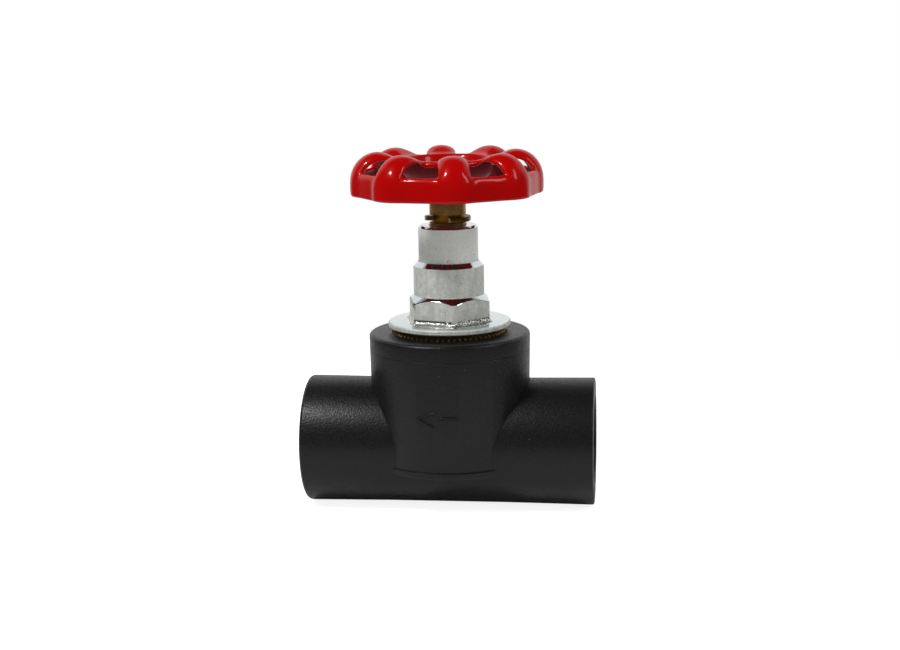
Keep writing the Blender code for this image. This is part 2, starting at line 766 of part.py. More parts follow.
def valley_section():
    """Wheel section between two lobes, with the marks where the window starts and ends."""
    ring = RING_WIDTH / 2
    skirt = WHEEL_OD / 2 - SCALLOP
    inner = dish_and_ring()
    lip = arc(ring, RING_HEIGHT - RING_ROUND, RING_ROUND, 45.0, 0.0, 1)
    lip.append((ring + RING_ROUND, RING_HEIGHT - LIP_DROP))
    window_start = len(inner) + len(lip) - 1
    edge = (skirt - WINDOW_EDGE_INSET, WINDOW_EDGE_HEIGHT)
    bridge = []
    for step in (1, 2):
        share = step / 3
        across = lip[-1][0] + (edge[0] - lip[-1][0]) * share
        up = lip[-1][1] + (edge[1] - lip[-1][1]) * share
        bridge.append((across, up))
    window_end = window_start + len(bridge) + 1
    shoulder = arc(skirt - SKIRT_ROUND, WINDOW_EDGE_HEIGHT - SKIRT_ROUND, SKIRT_ROUND, 40.0, 0.0, 1)
    foot = [(skirt, (WINDOW_EDGE_HEIGHT - SKIRT_ROUND - SKIRT_DROP) / 2), (skirt, -SKIRT_DROP)]
    return inner + lip + bridge + [edge] + shoulder + foot, window_start, window_end


def lobe_section(count):
    """Wheel section along a lobe's ridge: up from the ring, over the crest, down to the foot."""
    inner = dish_and_ring()
    crest_radius = CREST_WIDTH / 2
    reach = WHEEL_OD / 2 - crest_radius
    rise = CREST_HEIGHT - RING_HEIGHT
    start = inner[-1][0]
    spare = count - len(inner)
    climbing = 4
    ridge = []
    for step in range(1, climbing + 1):
        share = step / climbing
        across = start + (crest_radius - start) * share
        climbed = math.sin(share * math.pi / 2) ** LOBE_CLIMB_POWER
        ridge.append((across, RING_HEIGHT + rise * climbed))
    falling = spare - climbing - 1
    for step in range(1, falling + 1):
        angle = math.radians(90.0 * step / falling)
        across = crest_radius + reach * math.sin(angle)
        ridge.append((across, CREST_HEIGHT - LOBE_FALL * (1 - math.cos(angle))))
    ridge.append((WHEEL_OD / 2, -SKIRT_DROP))
    return inner + ridge


def lobe_half_width(radius):
    """Half the lobe's width as an arc length: narrow at the ring, wider at the skirt."""
    ring = RING_WIDTH / 2
    share = (radius - ring) / (WHEEL_OD / 2 - ring)
    share = min(max(share, 0.0), 1.0)
    return (LOBE_WIDTH_AT_RING + (LOBE_WIDTH_AT_SKIRT - LOBE_WIDTH_AT_RING) * share) / 2


def wheel_columns():
    """Where the wheel's columns stand in one sector: (share of the lobe, share of the valley)."""
    lobe_half = (0.0, 0.45, 0.8, 1.0)
    columns = [(share, 0.0) for share in lobe_half]
    columns.append((1.0, 1 / 2))
    return columns


def build_handwheel(group):
    """One sheet over dish, ring, lobes and skirt, with its windows left out, then thickened."""
    valley, window_start, window_end = valley_section()
    lobe = lobe_section(len(valley))
    sector = 2 * math.pi / LOBES
    ring_angle = lobe_half_width(RING_WIDTH / 2) / (RING_WIDTH / 2)
    front = wheel_columns()
    back = [(-share, -gap) for share, gap in front[:0:-1]]
    bm = bmesh.new()
    grid = []
    for (low_radius, low_height), (high_radius, high_height) in zip(valley, lobe):
        half_angle = min(lobe_half_width(low_radius) / low_radius, ring_angle)
        row = []
        for number in range(LOBES):
            for share, gap in back + front:
                lift = math.sqrt(1 - share * share)
                radius = low_radius + (high_radius - low_radius) * lift
                height = low_height + (high_height - low_height) * lift
                turn = share * half_angle + gap * (sector / 2 - half_angle)
                angle = -math.pi / 2 + LOBE_TURN + number * sector + turn
                place = (radius * math.cos(angle), radius * math.sin(angle), height)
                row.append(bm.verts.new(place))
        grid.append(row)
    per_sector = len(back) + len(front)
    lobe_edge = len(wheel_columns()) - 2
    for level in range(len(grid) - 1):
        for place in range(len(grid[level])):
            column = place % per_sector - len(back)
            in_lobe = -lobe_edge <= column < lobe_edge
            if window_start <= level < window_end and not in_lobe:
                continue
            after = (place + 1) % len(grid[level])
            low = grid[level]
            high = grid[level + 1]
            bm.faces.new((low[place], high[place], high[after], low[after]))
    bm.faces.new(grid[0])
    loose = [vertex for vertex in bm.verts if not vertex.link_faces]
    bmesh.ops.delete(bm, geom=loose, context="VERTS")
    wheel = add_piece("handwheel", finished_mesh("handwheel", bm), red_enamel, group, HUB_BASE)
    wall = wheel.modifiers.new("wall", "SOLIDIFY")
    wall.thickness = WHEEL_WALL
    wall.offset = -1.0
    wall.use_even_offset = True
    hub = turned("hub", hub_outline(), SMALL_SIDES)
    combine(wheel, hub, "UNION")
    socket = prism("hub_square", SQUARE + 2 * GAP, 4, -GAP, HUB_HEIGHT + GAP, math.pi / 4)
    combine(wheel, socket, "DIFFERENCE")


def hub_outline():
    radius = HUB_OD / 2
    top = HUB_HEIGHT - WHEEL_WALL / 2
    return [(0.0, 0.0), (radius - EDGE_BREAK, 0.0), (radius, EDGE_BREAK), (radius, top), (0.0, top)]


def build_wheel_washer(group):
    inner = SCREW_OD / 2 + GAP
    outer = WHEEL_WASHER_OD / 2
    outline = [
        (inner, 0.0),
        (outer, 0.0),
        (outer, WHEEL_WASHER_THICK),
        (inner, WHEEL_WASHER_THICK),
    ]
    mesh = turned("wheel_washer", outline, SMALL_SIDES)
    add_piece("wheel_washer", mesh, bright_steel, group, HUB_BASE + HUB_HEIGHT + GAP)


def screw_outline(shank_od, shank_length, head_od, head_height):
    """Half section of a cheese-head screw, its head's seat at height zero and shank below."""
    shank = shank_od / 2
    head = head_od / 2
    top = arc(head - EDGE_BREAK, head_height - EDGE_BREAK, EDGE_BREAK, 0.0, 90.0, 2)
    start = [
        (0.0, -shank_length),
        (shank - EDGE_BREAK, -shank_length),
        (shank, -shank_length + EDGE_BREAK),
        (shank, 0.0),
        (head, 0.0),
    ]
    return start + top + [(0.0, head_height)]


def build_wheel_screw(group):
    """Its shank stops short of the tapped hole's floor."""
    seat = HUB_BASE + HUB_HEIGHT + WHEEL_WASHER_THICK + 2 * GAP
    spindle_end = NOSE_TOP + WHEEL_RISE + SQUARE_LENGTH
    length = seat - spindle_end + SCREW_LENGTH - GAP
    outline = screw_outline(SCREW_OD, length, SCREW_HEAD_OD, SCREW_HEAD_HEIGHT)
    mesh = turned("wheel_screw", outline, SMALL_SIDES)
    add_piece("wheel_screw", mesh, bright_steel, group, seat)


def plunger_outline():
    """Half section of the plunger's round parts, heights from the floor of its cup."""
    washer_radius = WASHER_OD / 2
    piston_base = PISTON_BASE - CUP_FLOOR
    piston_top = PISTON_TOP - CUP_FLOOR
    grip_base = GRIP_BASE - CUP_FLOOR
    top = PLUNGER_TOP - CUP_FLOOR
    seal_middle = (piston_base + piston_top) / 2
    seal_half = PISTON_SEAL_SECTION / 2 + 1.5 * GAP
    seal_floor = PISTON_RADIUS - PISTON_SEAL_SECTION - GAP
    cup_outer = washer_radius + GAP + CUP_WALL
    grip = GRIP_FLATS / 2 - EDGE_BREAK
    return [
        (0.0, 0.0),
        (washer_radius + GAP, 0.0),
        (washer_radius + GAP, -CUP_SKIRT),
        (cup_outer, -CUP_SKIRT),
        (cup_outer, CUP_FLOOR_THICK - EDGE_BREAK),
        (cup_outer - EDGE_BREAK, CUP_FLOOR_THICK),
        (STEM_OD / 2, CUP_FLOOR_THICK),
        (STEM_OD / 2, piston_base),
        (PISTON_RADIUS, piston_base),
        (PISTON_RADIUS, seal_middle - seal_half),
        (seal_floor, seal_middle - seal_half),
        (seal_floor, seal_middle + seal_half),
        (PISTON_RADIUS, seal_middle + seal_half),
        (PISTON_RADIUS, piston_top),
        (grip, piston_top),
        (grip, grip_base + EDGE_BREAK),
        (grip, top),
        (0.0, top),
    ]


def build_plunger(group):
    plunger = add_piece(
        "plunger", turned("plunger", plunger_outline(), SMALL_SIDES), raw_brass, group, CUP_FLOOR
    )
    grip_base = GRIP_BASE - CUP_FLOOR
    top = PLUNGER_TOP - CUP_FLOOR
    combine(plunger, prism("plunger_grip", GRIP_FLATS, 6, grip_base, top, HEX_TURN), "UNION")
    drive_hole = prism(
        "drive_hole", DRIVE_OD + 2 * GAP, SMALL_SIDES, top - DRIVE_HOLE_DEPTH, top + GAP
    )
    combine(plunger, drive_hole, "DIFFERENCE")
    screw_depth = WASHER_SCREW_LENGTH - PLATE_THICK - WASHER_THICK - GAP
    screw_hole = prism("screw_hole", WASHER_SCREW_OD + 2 * GAP, 16, -GAP, screw_depth)
    combine(plunger, screw_hole, "DIFFERENCE")


def build_plunger_seal(group):
    middle = (PISTON_BASE + PISTON_TOP) / 2
    inner = PISTON_RADIUS - PISTON_SEAL_SECTION
    add_seal("plunger_oring", black_rubber, group, inner, PISTON_RADIUS, middle)


def build_seat_washer(group):
    inner = WASHER_SCREW_OD / 2 + GAP
    outer = WASHER_OD / 2
    outline = [
        (inner, 0.0),
        (outer - EDGE_BREAK, 0.0),
        (outer, EDGE_BREAK),
        (outer, WASHER_THICK),
        (inner, WASHER_THICK),
    ]
    mesh = turned("seat_washer", outline, SMALL_SIDES)
    add_piece("seat_washer", mesh, black_rubber, group, WASHER_BASE)


def build_washer_plate(group):
    inner = WASHER_SCREW_OD / 2 + GAP
    outer = PLATE_OD / 2
    outline = [(inner, 0.0), (outer, 0.0), (outer, PLATE_THICK), (inner, PLATE_THICK)]
    mesh = turned("washer_plate", outline, SMALL_SIDES)
    add_piece("washer_plate", mesh, bright_steel, group, WASHER_BASE - GAP - PLATE_THICK)


def build_washer_screw(group):
    """Screwed in from below, so the turned outline is built head down."""
    seat = WASHER_BASE - 2 * GAP - PLATE_THICK
    outline = screw_outline(
        WASHER_SCREW_OD, WASHER_SCREW_LENGTH, WASHER_SCREW_HEAD_OD, WASHER_SCREW_HEAD_HEIGHT
    )
    mesh = turned("washer_screw", outline, SMALL_SIDES)
    mesh.transform(Matrix.Rotation(math.pi, 4, "X"))
    add_piece("washer_screw", mesh, bright_steel, group, seat)


def build_fixed_pieces():
    group = add_group("pipe_run", 0.0)
    build_valve_body(group)
    build_seat_ring(group)
    build_neck_insert(group)
    build_insert_seals(group)
    build_bonnet(group)
    build_thrust_washer(group)


def build_turning_pieces():
    """The pieces that turn with the handwheel, on an empty at the wheel's hub."""
    group = add_group("wheel_turn", HUB_BASE)
    build_spindle(group)
    build_spindle_seals(group)
    build_spindle_clip(group)
    build_handwheel(group)
    build_wheel_washer(group)
    build_wheel_screw(group)


def build_sliding_pieces():
    """The pieces that the drive thread lifts off the seat, on an empty at the seat's crest."""
    group = add_group("plunger_lift", SEAT_CREST)
    build_plunger(group)
    build_plunger_seal(group)
    build_seat_washer(group)
    build_washer_plate(group)
    build_washer_screw(group)


clear_scene()
build_fixed_pieces()
build_turning_pieces()
build_sliding_pieces()
bpy.context.view_layer.update()
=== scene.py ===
"""Looks of the stop valve: finer pieces and finishes for its plain solids, with a studio."""
import math

import bpy
from mathutils import Matrix, Vector


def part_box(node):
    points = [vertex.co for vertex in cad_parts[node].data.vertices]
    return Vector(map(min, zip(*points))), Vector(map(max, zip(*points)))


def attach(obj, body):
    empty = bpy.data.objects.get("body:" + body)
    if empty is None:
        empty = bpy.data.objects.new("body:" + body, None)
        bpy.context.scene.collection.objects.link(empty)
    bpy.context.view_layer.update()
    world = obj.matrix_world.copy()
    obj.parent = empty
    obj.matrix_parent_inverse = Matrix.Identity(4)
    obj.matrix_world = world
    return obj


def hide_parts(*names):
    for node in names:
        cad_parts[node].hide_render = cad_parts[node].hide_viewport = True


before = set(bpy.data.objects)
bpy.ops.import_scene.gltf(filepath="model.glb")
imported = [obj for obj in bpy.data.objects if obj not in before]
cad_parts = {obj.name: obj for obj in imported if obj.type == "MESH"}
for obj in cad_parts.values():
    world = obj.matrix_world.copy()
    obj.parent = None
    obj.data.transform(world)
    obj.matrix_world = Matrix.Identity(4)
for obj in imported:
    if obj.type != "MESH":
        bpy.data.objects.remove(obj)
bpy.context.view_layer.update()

MM = 0.001

# Sides round large and small turned pieces
ROUND = 160
SMALL_ROUND = 64

# Camera, fitted to the photograph's outline: degrees, pixels and millimetres
IMAGE = (900, 650)
FOCAL_PIXELS = 1586.22
CAMERA_DISTANCE = 590.14
AZIMUTH = 7.054
ELEVATION = 15.041
PAN = 0.014
TILT = -4.099
ROLL = 0.990

FLOOR_HEIGHT = -23.3
FLOOR_RADIUS = 0.32
FLOOR_GLOW = 0.85

# The room's light on matt surfaces, and the white sheet and dim room that gloss shows
ROOM_LEVEL = 0.45
SHEET_LEVEL = 0.85
ROOM_BELOW = 0.05
ROOM_ABOVE = 0.015


# ---------------------------------------------------------------- modelling by hand

def deselect():
    bpy.ops.object.select_all(action="DESELECT")


def hold(piece):
    """Make the piece the only selected and the active one."""
    deselect()
    piece.select_set(True)
    bpy.context.view_layer.objects.active = piece


def named(piece, name):
    piece.name = name
    piece.data.name = name
    return piece


def drawn(name, rings, sides=ROUND, lying=False, ring_closed=False):
    """Draw a piece up from a circle, extruded and resized to each next ring.

    A ring is (radius, place along the axis, rise off the axis), in millimetres. The axis is Z,
    or X for a lying piece. A closed outline joins its last ring to its first, and any other one
    gets flat ends.
    """
    deselect()
    radius, along, rise = rings[0]
    turn = (0.0, math.pi / 2, 0.0) if lying else (0.0, 0.0, 0.0)
    middle = (along * MM, 0.0, rise * MM) if lying else (0.0, 0.0, along * MM)
    bpy.ops.mesh.primitive_circle_add(
        vertices=sides, radius=radius * MM, location=middle, rotation=turn
    )
    piece = named(bpy.context.active_object, name)
    bpy.ops.object.transform_apply(location=True, rotation=True, scale=True)
    bpy.ops.object.mode_set(mode="EDIT")
    bpy.ops.mesh.select_all(action="SELECT")
    following = rings[1:] + rings[:1] if ring_closed else rings[1:]
    for next_radius, next_along, next_rise in following:
        bpy.ops.mesh.extrude_region()
        step = (next_along - along) * MM
        lift = (next_rise - rise) * MM
        bpy.ops.transform.translate(value=(step, 0.0, lift) if lying else (0.0, 0.0, step))
        middle = (next_along * MM, 0.0, next_rise * MM) if lying else (0.0, 0.0, next_along * MM)
        share = next_radius / radius
        size = (1.0, share, share) if lying else (share, share, 1.0)
        bpy.ops.transform.resize(value=size, center_override=middle)
        radius, along, rise = next_radius, next_along, next_rise
    if not ring_closed:
        bpy.ops.mesh.edge_face_add()
        bpy.ops.mesh.select_all(action="DESELECT")
        bpy.ops.mesh.select_non_manifold()
        bpy.ops.mesh.edge_face_add()
    finish_edit()
    return piece


def turned(name, outline, sides=ROUND, ring_closed=False):
    return drawn(name, [(r, z, 0.0) for r, z in outline], sides, False, ring_closed)


def finish_edit():
    """Join doubles and face the skin outwards, then leave edit mode."""
    bpy.ops.mesh.select_all(action="SELECT")
    bpy.ops.mesh.remove_doubles(threshold=0.000001)
    bpy.ops.mesh.normals_make_consistent(inside=False)
    bpy.ops.object.mode_set(mode="OBJECT")


def apply_step(piece, step):
    hold(piece)
    bpy.ops.object.modifier_apply(modifier=step.name)


def combine(piece, tool, operation):
    """Cut, join or trim the piece with another one, which is used up."""
    step = piece.modifiers.new(tool.name, "BOOLEAN")
    step.operation = operation
    step.solver = "EXACT"
    step.object = tool
    apply_step(piece, step)
    bpy.data.objects.remove(tool, do_unlink=True)


def rounded(piece, width, angle=30.0, segments=2):
    """Break the piece's real edges."""
    step = piece.modifiers.new("edge_break", "BEVEL")
    step.width = width * MM
    step.segments = segments
    step.limit_method = "ANGLE"
    step.angle_limit = math.radians(angle)
    step.use_clamp_overlap = True
    apply_step(piece, step)


def smooth(piece, angle=32.0):
    hold(piece)
    bpy.ops.object.shade_smooth_by_angle(angle=math.radians(angle))


def prism(name, across_flats, sides, base, top, turn=0.0):
    """A regular prism with a corner at the given angle from +X, in degrees."""
    deselect()
    bpy.ops.mesh.primitive_cylinder_add(
        vertices=sides,
        radius=across_flats / 2 / math.cos(math.pi / sides) * MM,
        depth=(top - base) * MM,
        location=(0.0, 0.0, (base + top) / 2 * MM),
        rotation=(0.0, 0.0, math.radians(turn - 90.0)),
    )
    piece = named(bpy.context.active_object, name)
    bpy.ops.object.transform_apply(location=True, rotation=True, scale=True)
    return piece


def arc(radius, height, size, start, end, steps):
    """Outline points round an arc, angles in degrees from the outward direction."""
    points = []
    for step in range(steps + 1):
        angle = math.radians(start + (end - start) * step / steps)
        points.append((radius + size * math.cos(angle), height + size * math.sin(angle)))
    return points


def place(piece, body, slot, finish, *nodes):
    """Give a finished piece its finish, its body and the solids that it stands for; the slot is not
    used.
    """
    finishes = finish if isinstance(finish, (list, tuple)) else [finish]
    if not piece.data.materials:
        for each in finishes:
            piece.data.materials.append(each)
    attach(piece, body)
    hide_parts(*nodes)


# ---------------------------------------------------------------- finishes

def linear(code):
    """A colour written as sRGB hex, made linear."""
    shares = [int(code[start:start + 2], 16) / 255 for start in (0, 2, 4)]
    return tuple(s / 12.92 if s <= 0.04045 else ((s + 0.055) / 1.055) ** 2.4 for s in shares)


def rgba(code):
    return (*linear(code), 1.0)


def add(tree, kind, settings=None, inputs=None):
    """Add a node with its settings, and join or set its inputs by name or number."""
    made = tree.nodes.new("ShaderNode" + kind)
    for key, value in (settings or {}).items():
        setattr(made, key, value)
    for key, value in (inputs or {}).items():
        if isinstance(value, bpy.types.NodeSocket):
            tree.links.new(value, made.inputs[key])
        else:
            made.inputs[key].default_value = value
    return made


def start_finish(name, roughness, metallic=0.0, **sockets):
    """A new material with its shader's own values set on its sockets."""
    finish = bpy.data.materials.new(name)
    finish.use_nodes = True
    tree = finish.node_tree
    shader = tree.nodes["Principled BSDF"]
    shader.inputs["Roughness"].default_value = roughness
    shader.inputs["Metallic"].default_value = metallic
    for key, value in sockets.items():
        shader.inputs[key.replace("_", " ")].default_value = value
    where = add(tree, "TexCoord").outputs["Object"]
    return finish, tree, shader, where


def noise(tree, where, size, detail=3.0, roughness=0.5, stretch=None):
    """Noise whose features are about the given size in millimetres."""
    if stretch:
        where = add(tree, "Mapping", None, {"Vector": where, "Scale": stretch}).outputs[0]
    made = add(tree, "TexNoise", None, {
        "Vector": where, "Scale": 1.0 / (size * MM), "Detail": detail, "Roughness": roughness,
    })
    return made.outputs[0]


def ramp(tree, source, low, high, from_value, to_value):
    return add(tree, "MapRange", {"clamp": True}, {
        "Value": source, "From Min": low, "From Max": high,
        "To Min": from_value, "To Max": to_value,
    }).outputs[0]


def blend(tree, share, first, second):
    return add(tree, "Mix", {"data_type": "RGBA"}, {
        0: share, 6: first, 7: second,
    }).outputs[2]


def bumps(tree, shader, *layers):
    """Chain bump layers of (height source, depth in millimetres) into the shader's normal."""
    under = None
    for height, depth in layers:
        inputs = {"Height": height, "Distance": depth * MM, "Strength": 1.0}
        if under:
            inputs["Normal"] = under
        under = add(tree, "Bump", None, inputs).outputs[0]
    tree.links.new(under, shader.inputs["Normal"])


def moulded_polyethylene():
    """High-density polyethylene, injection moulded black in a spark-eroded mould.

    That gives a near-black, semi-matt skin whose fine grain glitters where light grazes it, with
    a faint parting line round the middle. The grain is drawn coarser than it is, to show at all.
    """
    finish, tree, shader, where = start_finish(
        "polyethylene_moulded_black", 0.36, Specular_IOR_Level=0.3
    )
    cloud = noise(tree, where, 14.0)
    dust = noise(tree, where, 1.3, 1.0)
    speck = ramp(tree, dust, 0.8, 0.82, 0.0, 0.4)
    skin = blend(tree, cloud, rgba("0F100F"), rgba("141615"))
    tree.links.new(blend(tree, speck, skin, rgba("6E6C66")), shader.inputs["Base Color"])
    grain = noise(tree, where, 0.7, 2.0)
    tree.links.new(ramp(tree, grain, 0.35, 0.65, 0.32, 0.46), shader.inputs["Roughness"])
    scratch = noise(tree, where, 0.7, 4.0, 0.6, (0.12, 1.0, 1.0))
    across = add(tree, "SeparateXYZ", None, {0: where}).outputs[0]
    off_middle = add(tree, "Math", {"operation": "ABSOLUTE"}, {0: across}).outputs[0]
    parting = ramp(tree, off_middle, 0.0, 0.0003, 1.0, 0.0)
    bumps(tree, shader, (cloud, 0.06), (scratch, 0.01), (parting, 0.06), (grain, 0.1))
    return finish


def plated_forging():
    """Hot-pressed brass, dull nickel plated: a sandy, mottled skin with small dark pits.

    The blasted skin scatters so widely that a part of its light is set as diffuse. The nose is
    painted paler: painted light that stands in for the light the wheel's shadow takes off it.
    """
    finish, tree, shader, where = start_finish("brass_forged_nickel_plated", 0.6, 0.5)
    mottle = noise(tree, where, 1.6, 4.0, 0.62)
    patch = noise(tree, where, 7.0, 2.0)
    streak = noise(tree, where, 2.4, 3.0, 0.55, (1.0, 1.0, 0.22))
    pit = ramp(tree, noise(tree, where, 0.7, 2.0), 0.66, 0.72, 0.0, 0.7)
    sand = blend(tree, ramp(tree, mottle, 0.3, 0.7, 0.0, 1.0), rgba("BDC0B8"), rgba("DDDFD9"))
    skin = blend(tree, ramp(tree, streak, 0.42, 0.62, 0.0, 0.4), sand, rgba("ABAEA8"))
    level = add(tree, "SeparateXYZ", None, {0: where}).outputs[2]
    # Painted light: above this level the skin is blended paler, standing in for light the wheel
    # shades off the nose
    painted_nose_light = ramp(tree, level, 0.066, 0.0685, 0.0, 0.6)
    skin = blend(tree, painted_nose_light, skin, rgba("F6F8F3"))
    tree.links.new(blend(tree, pit, skin, rgba("6A675C")), shader.inputs["Base Color"])
    tree.links.new(ramp(tree, patch, 0.3, 0.7, 0.55, 0.7), shader.inputs["Roughness"])
    bumps(tree, shader, (patch, 0.12), (mottle, 0.06))
    return finish


def plated_turning():
    """Turned brass, bright nickel plated: mirror bright, a little wavy, faint turning marks."""
    finish, tree, shader, where = start_finish("brass_turned_nickel_plated", 0.05, 1.0)
    tint = noise(tree, where, 5.0)
    tree.links.new(blend(tree, tint, rgba("C9D3D6"), rgba("E0E6E6")), shader.inputs["Base Color"])
    tree.links.new(ramp(tree, tint, 0.3, 0.7, 0.03, 0.1), shader.inputs["Roughness"])
    wave = noise(tree, where, 2.2, 2.0)
    dent = noise(tree, where, 0.9, 2.0)
    bumps(tree, shader, (wave, 0.05), (dent, 0.012))
    return finish


def plated_foot():
    """Foot of the pressed hexagon, bright nickel over a torn skin: it glitters in broken flecks."""
    finish, tree, shader, where = start_finish("brass_pressed_nickel_plated", 0.16, 1.0)
    tint = noise(tree, where, 0.8)
    tree.links.new(blend(tree, tint, rgba("7E7E78"), rgba("F0F0EC")), shader.inputs["Base Color"])
    lump = noise(tree, where, 1.8, 3.0)
    tear = noise(tree, where, 0.6, 3.0, 0.6)
    bumps(tree, shader, (lump, 0.5), (tear, 0.3))
    return finish


def machined_brass(name, dark, light, roughness, metallic=0.85):
    """Free-cutting brass, turned and gone dull in air: brown gold with fine tool marks."""
    finish, tree, shader, where = start_finish(name, roughness, metallic)
    tarnish = noise(tree, where, 2.5, 4.0, 0.6)
    marks = noise(tree, where, 0.5, 2.0, 0.5, (0.15, 0.15, 1.0))
    stain = noise(tree, where, 1.6, 3.0, 0.6, (0.5, 0.5, 1.6))
    skin = blend(tree, tarnish, rgba(dark), rgba(light))
    smear = ramp(tree, stain, 0.52, 0.64, 0.0, 0.5)
    tree.links.new(blend(tree, smear, skin, rgba(dark)), shader.inputs["Base Color"])
    spread = ramp(tree, tarnish, 0.3, 0.7, roughness - 0.08, roughness + 0.08)
    tree.links.new(spread, shader.inputs["Roughness"])
    bumps(tree, shader, (marks, 0.02))
    return finish


def baked_enamel():
    """Cast wheel in baked red enamel: a thick glossy skin, pooled a little in its hollows."""
    finish, tree, shader, where = start_finish(
        "enamel_baked_red", 0.3, Coat_Weight=0.32, Coat_Roughness=0.04, Specular_IOR_Level=0.05
    )
    pool = noise(tree, where, 12.0)
    tree.links.new(blend(tree, pool, rgba("A20000"), rgba("B40000")), shader.inputs["Base Color"])
    ripple = noise(tree, where, 5.0, 1.0)
    orange_peel = noise(tree, where, 1.2, 1.0)
    bumps(tree, shader, (ripple, 0.035), (orange_peel, 0.002))
    return finish


def shaded_inside_enamel():
    """Inside of the cast wheel: duller enamel, its dark red-brown colour painted shade of the
    hollow.
    """
    finish, tree, shader, where = start_finish(
        "enamel_inside_painted_shade", 0.5, Specular_IOR_Level=0.15
    )
    sand = noise(tree, where, 1.4, 4.0, 0.6)
    tree.links.new(blend(tree, sand, rgba("5C1216"), rgba("86202A")), shader.inputs["Base Color"])
    tree.links.new(ramp(tree, sand, 0.3, 0.7, 0.42, 0.6), shader.inputs["Roughness"])
    bumps(tree, shader, (sand, 0.06))
    return finish


def plated_steel():
    """Zinc-plated steel of small fasteners: pale grey, a little blue, satin."""
    finish, tree, shader, where = start_finish("steel_zinc_plated", 0.3, 1.0)
    cloud = noise(tree, where, 1.5)
    tree.links.new(blend(tree, cloud, rgba("B9BDC0"), rgba("D2D4D4")), shader.inputs["Base Color"])
    tree.links.new(ramp(tree, cloud, 0.3, 0.7, 0.24, 0.36), shader.inputs["Roughness"])
    bumps(tree, shader, (noise(tree, where, 0.6), 0.01))
    return finish


def moulded_rubber():
    """Nitrile rubber of seals: black, matt, with a slight bloom."""
    finish, tree, shader, where = start_finish("rubber_nitrile_moulded", 0.7)
    bloom = noise(tree, where, 1.5)
    tree.links.new(blend(tree, bloom, rgba("171717"), rgba("232322")), shader.inputs["Base Color"])
    bumps(tree, shader, (noise(tree, where, 0.5), 0.02))
    return finish


def slip_ring_plastic():
    """Skived fluoroplastic of the slip washer: waxy white with fine cutting lines."""
    finish, tree, shader, where = start_finish("fluoroplastic_skived", 0.42)
    cloud = noise(tree, where, 2.0)
    tree.links.new(blend(tree, cloud, rgba("DEDCD3"), rgba("ECEBE5")), shader.inputs["Base Color"])
    bumps(tree, shader, (noise(tree, where, 0.4, 2.0, 0.5, (1.0, 0.2, 1.0)), 0.01))
    return finish


# ---------------------------------------------------------------- body

NECK_FOOT = -7.5
NECK_BAND_TOP = -5.2
NECK_BAND_RADIUS = 29.025
NECK_FOOT_RADIUS = 28.625
NECK_TOP = 41.0
NECK_RADIUS = 29.425
WITNESS_HEIGHT = 34.85
WITNESS_DEPTH = 0.09

RUN_END = 53.0
RUN_RADIUS = 23.3
WAIST_END = 21.1
WAIST_RADIUS = 23.0
OUTLET_RIM = 1.5
INLET_RIM = 0.6
BORE_RADIUS = 12.0

# Water ways: name, side of their socket, level at the seat and radius there
WAYS = (("inlet_way", 1, -8.0, 8.5), ("outlet_way", -1, 12.3, 7.0))
BEND_START = 33.4
BEND_LENGTH = 19.0
OUTLET_WAY_END = 7.2

# Flow arrow: two barbs from its point, then the shaft, with ends as (arc round the neck, level)
ARROW_STROKES = (
    ((-8.93, 14.34), (-1.95, 17.22)),
    ((-8.93, 14.34), (-2.8, 11.82)),
    ((-1.46, 15.2), (6.13, 15.07)),
)
ARROW_RADIUS = 29.0
STROKE_WIDTH = 0.8
STROKE_HEIGHT = 0.55
STROKE_EDGE = 0.25
STROKE_ROOT = 0.6


def neck_radius(height):
    """The neck's drafted wall."""
    share = (height - NECK_BAND_TOP) / (NECK_TOP - 1.5 - NECK_BAND_TOP)
    return NECK_FOOT_RADIUS + (NECK_RADIUS - NECK_FOOT_RADIUS) * share


def neck_rings():
    """The neck's outline with its foot band, the fine witness line and the rounded rim."""
    line = [
        (neck_radius(WITNESS_HEIGHT - 0.2), WITNESS_HEIGHT - 0.2),
        (neck_radius(WITNESS_HEIGHT) - WITNESS_DEPTH, WITNESS_HEIGHT - 0.05),
        (neck_radius(WITNESS_HEIGHT) - WITNESS_DEPTH, WITNESS_HEIGHT + 0.05),
        (neck_radius(WITNESS_HEIGHT + 0.2), WITNESS_HEIGHT + 0.2),
    ]
    foot = [(NECK_BAND_RADIUS - 0.5, NECK_FOOT)]
    foot += arc(NECK_BAND_RADIUS - 0.5, NECK_FOOT + 0.5, 0.5, -90.0, 0.0, 3)[1:]
    foot += [
        (NECK_BAND_RADIUS, NECK_BAND_TOP - 0.3),
        (NECK_FOOT_RADIUS + 0.15, NECK_BAND_TOP - 0.1),
        (NECK_FOOT_RADIUS - 0.1, NECK_BAND_TOP),
        (NECK_FOOT_RADIUS, NECK_BAND_TOP + 0.25),
    ]
    rim = arc(NECK_RADIUS - 1.5, NECK_TOP - 1.5, 1.5, 0.0, 90.0, 6)
    return foot + line + rim


def run_rings():
    """The straight run's outline: a little thinner at the neck, its inlet rim the crisper one."""
    near = arc(RUN_RADIUS - OUTLET_RIM, OUTLET_RIM - RUN_END, OUTLET_RIM, -90.0, 0.0, 5)
    far = arc(RUN_RADIUS - INLET_RIM, RUN_END - INLET_RIM, INLET_RIM, 0.0, 90.0, 4)
    waist = [(WAIST_RADIUS, -WAIST_END), (WAIST_RADIUS, WAIST_END)]
    return [(r, x, 0.0) for r, x in near + waist + far]


def socket_rings(side):
    """A socket's hollow from outside its mouth to the flow bore, on the given side."""
    depths = [
        (17.35, -0.8), (16.55, 0.0), (16.2, 0.25), (15.95, 0.55), (15.75, 1.0),
        (15.75, 20.0), (BORE_RADIUS, 20.0), (BORE_RADIUS, 21.2),
    ]
    return [(r, side * (RUN_END - depth), 0.0) for r, depth in depths]


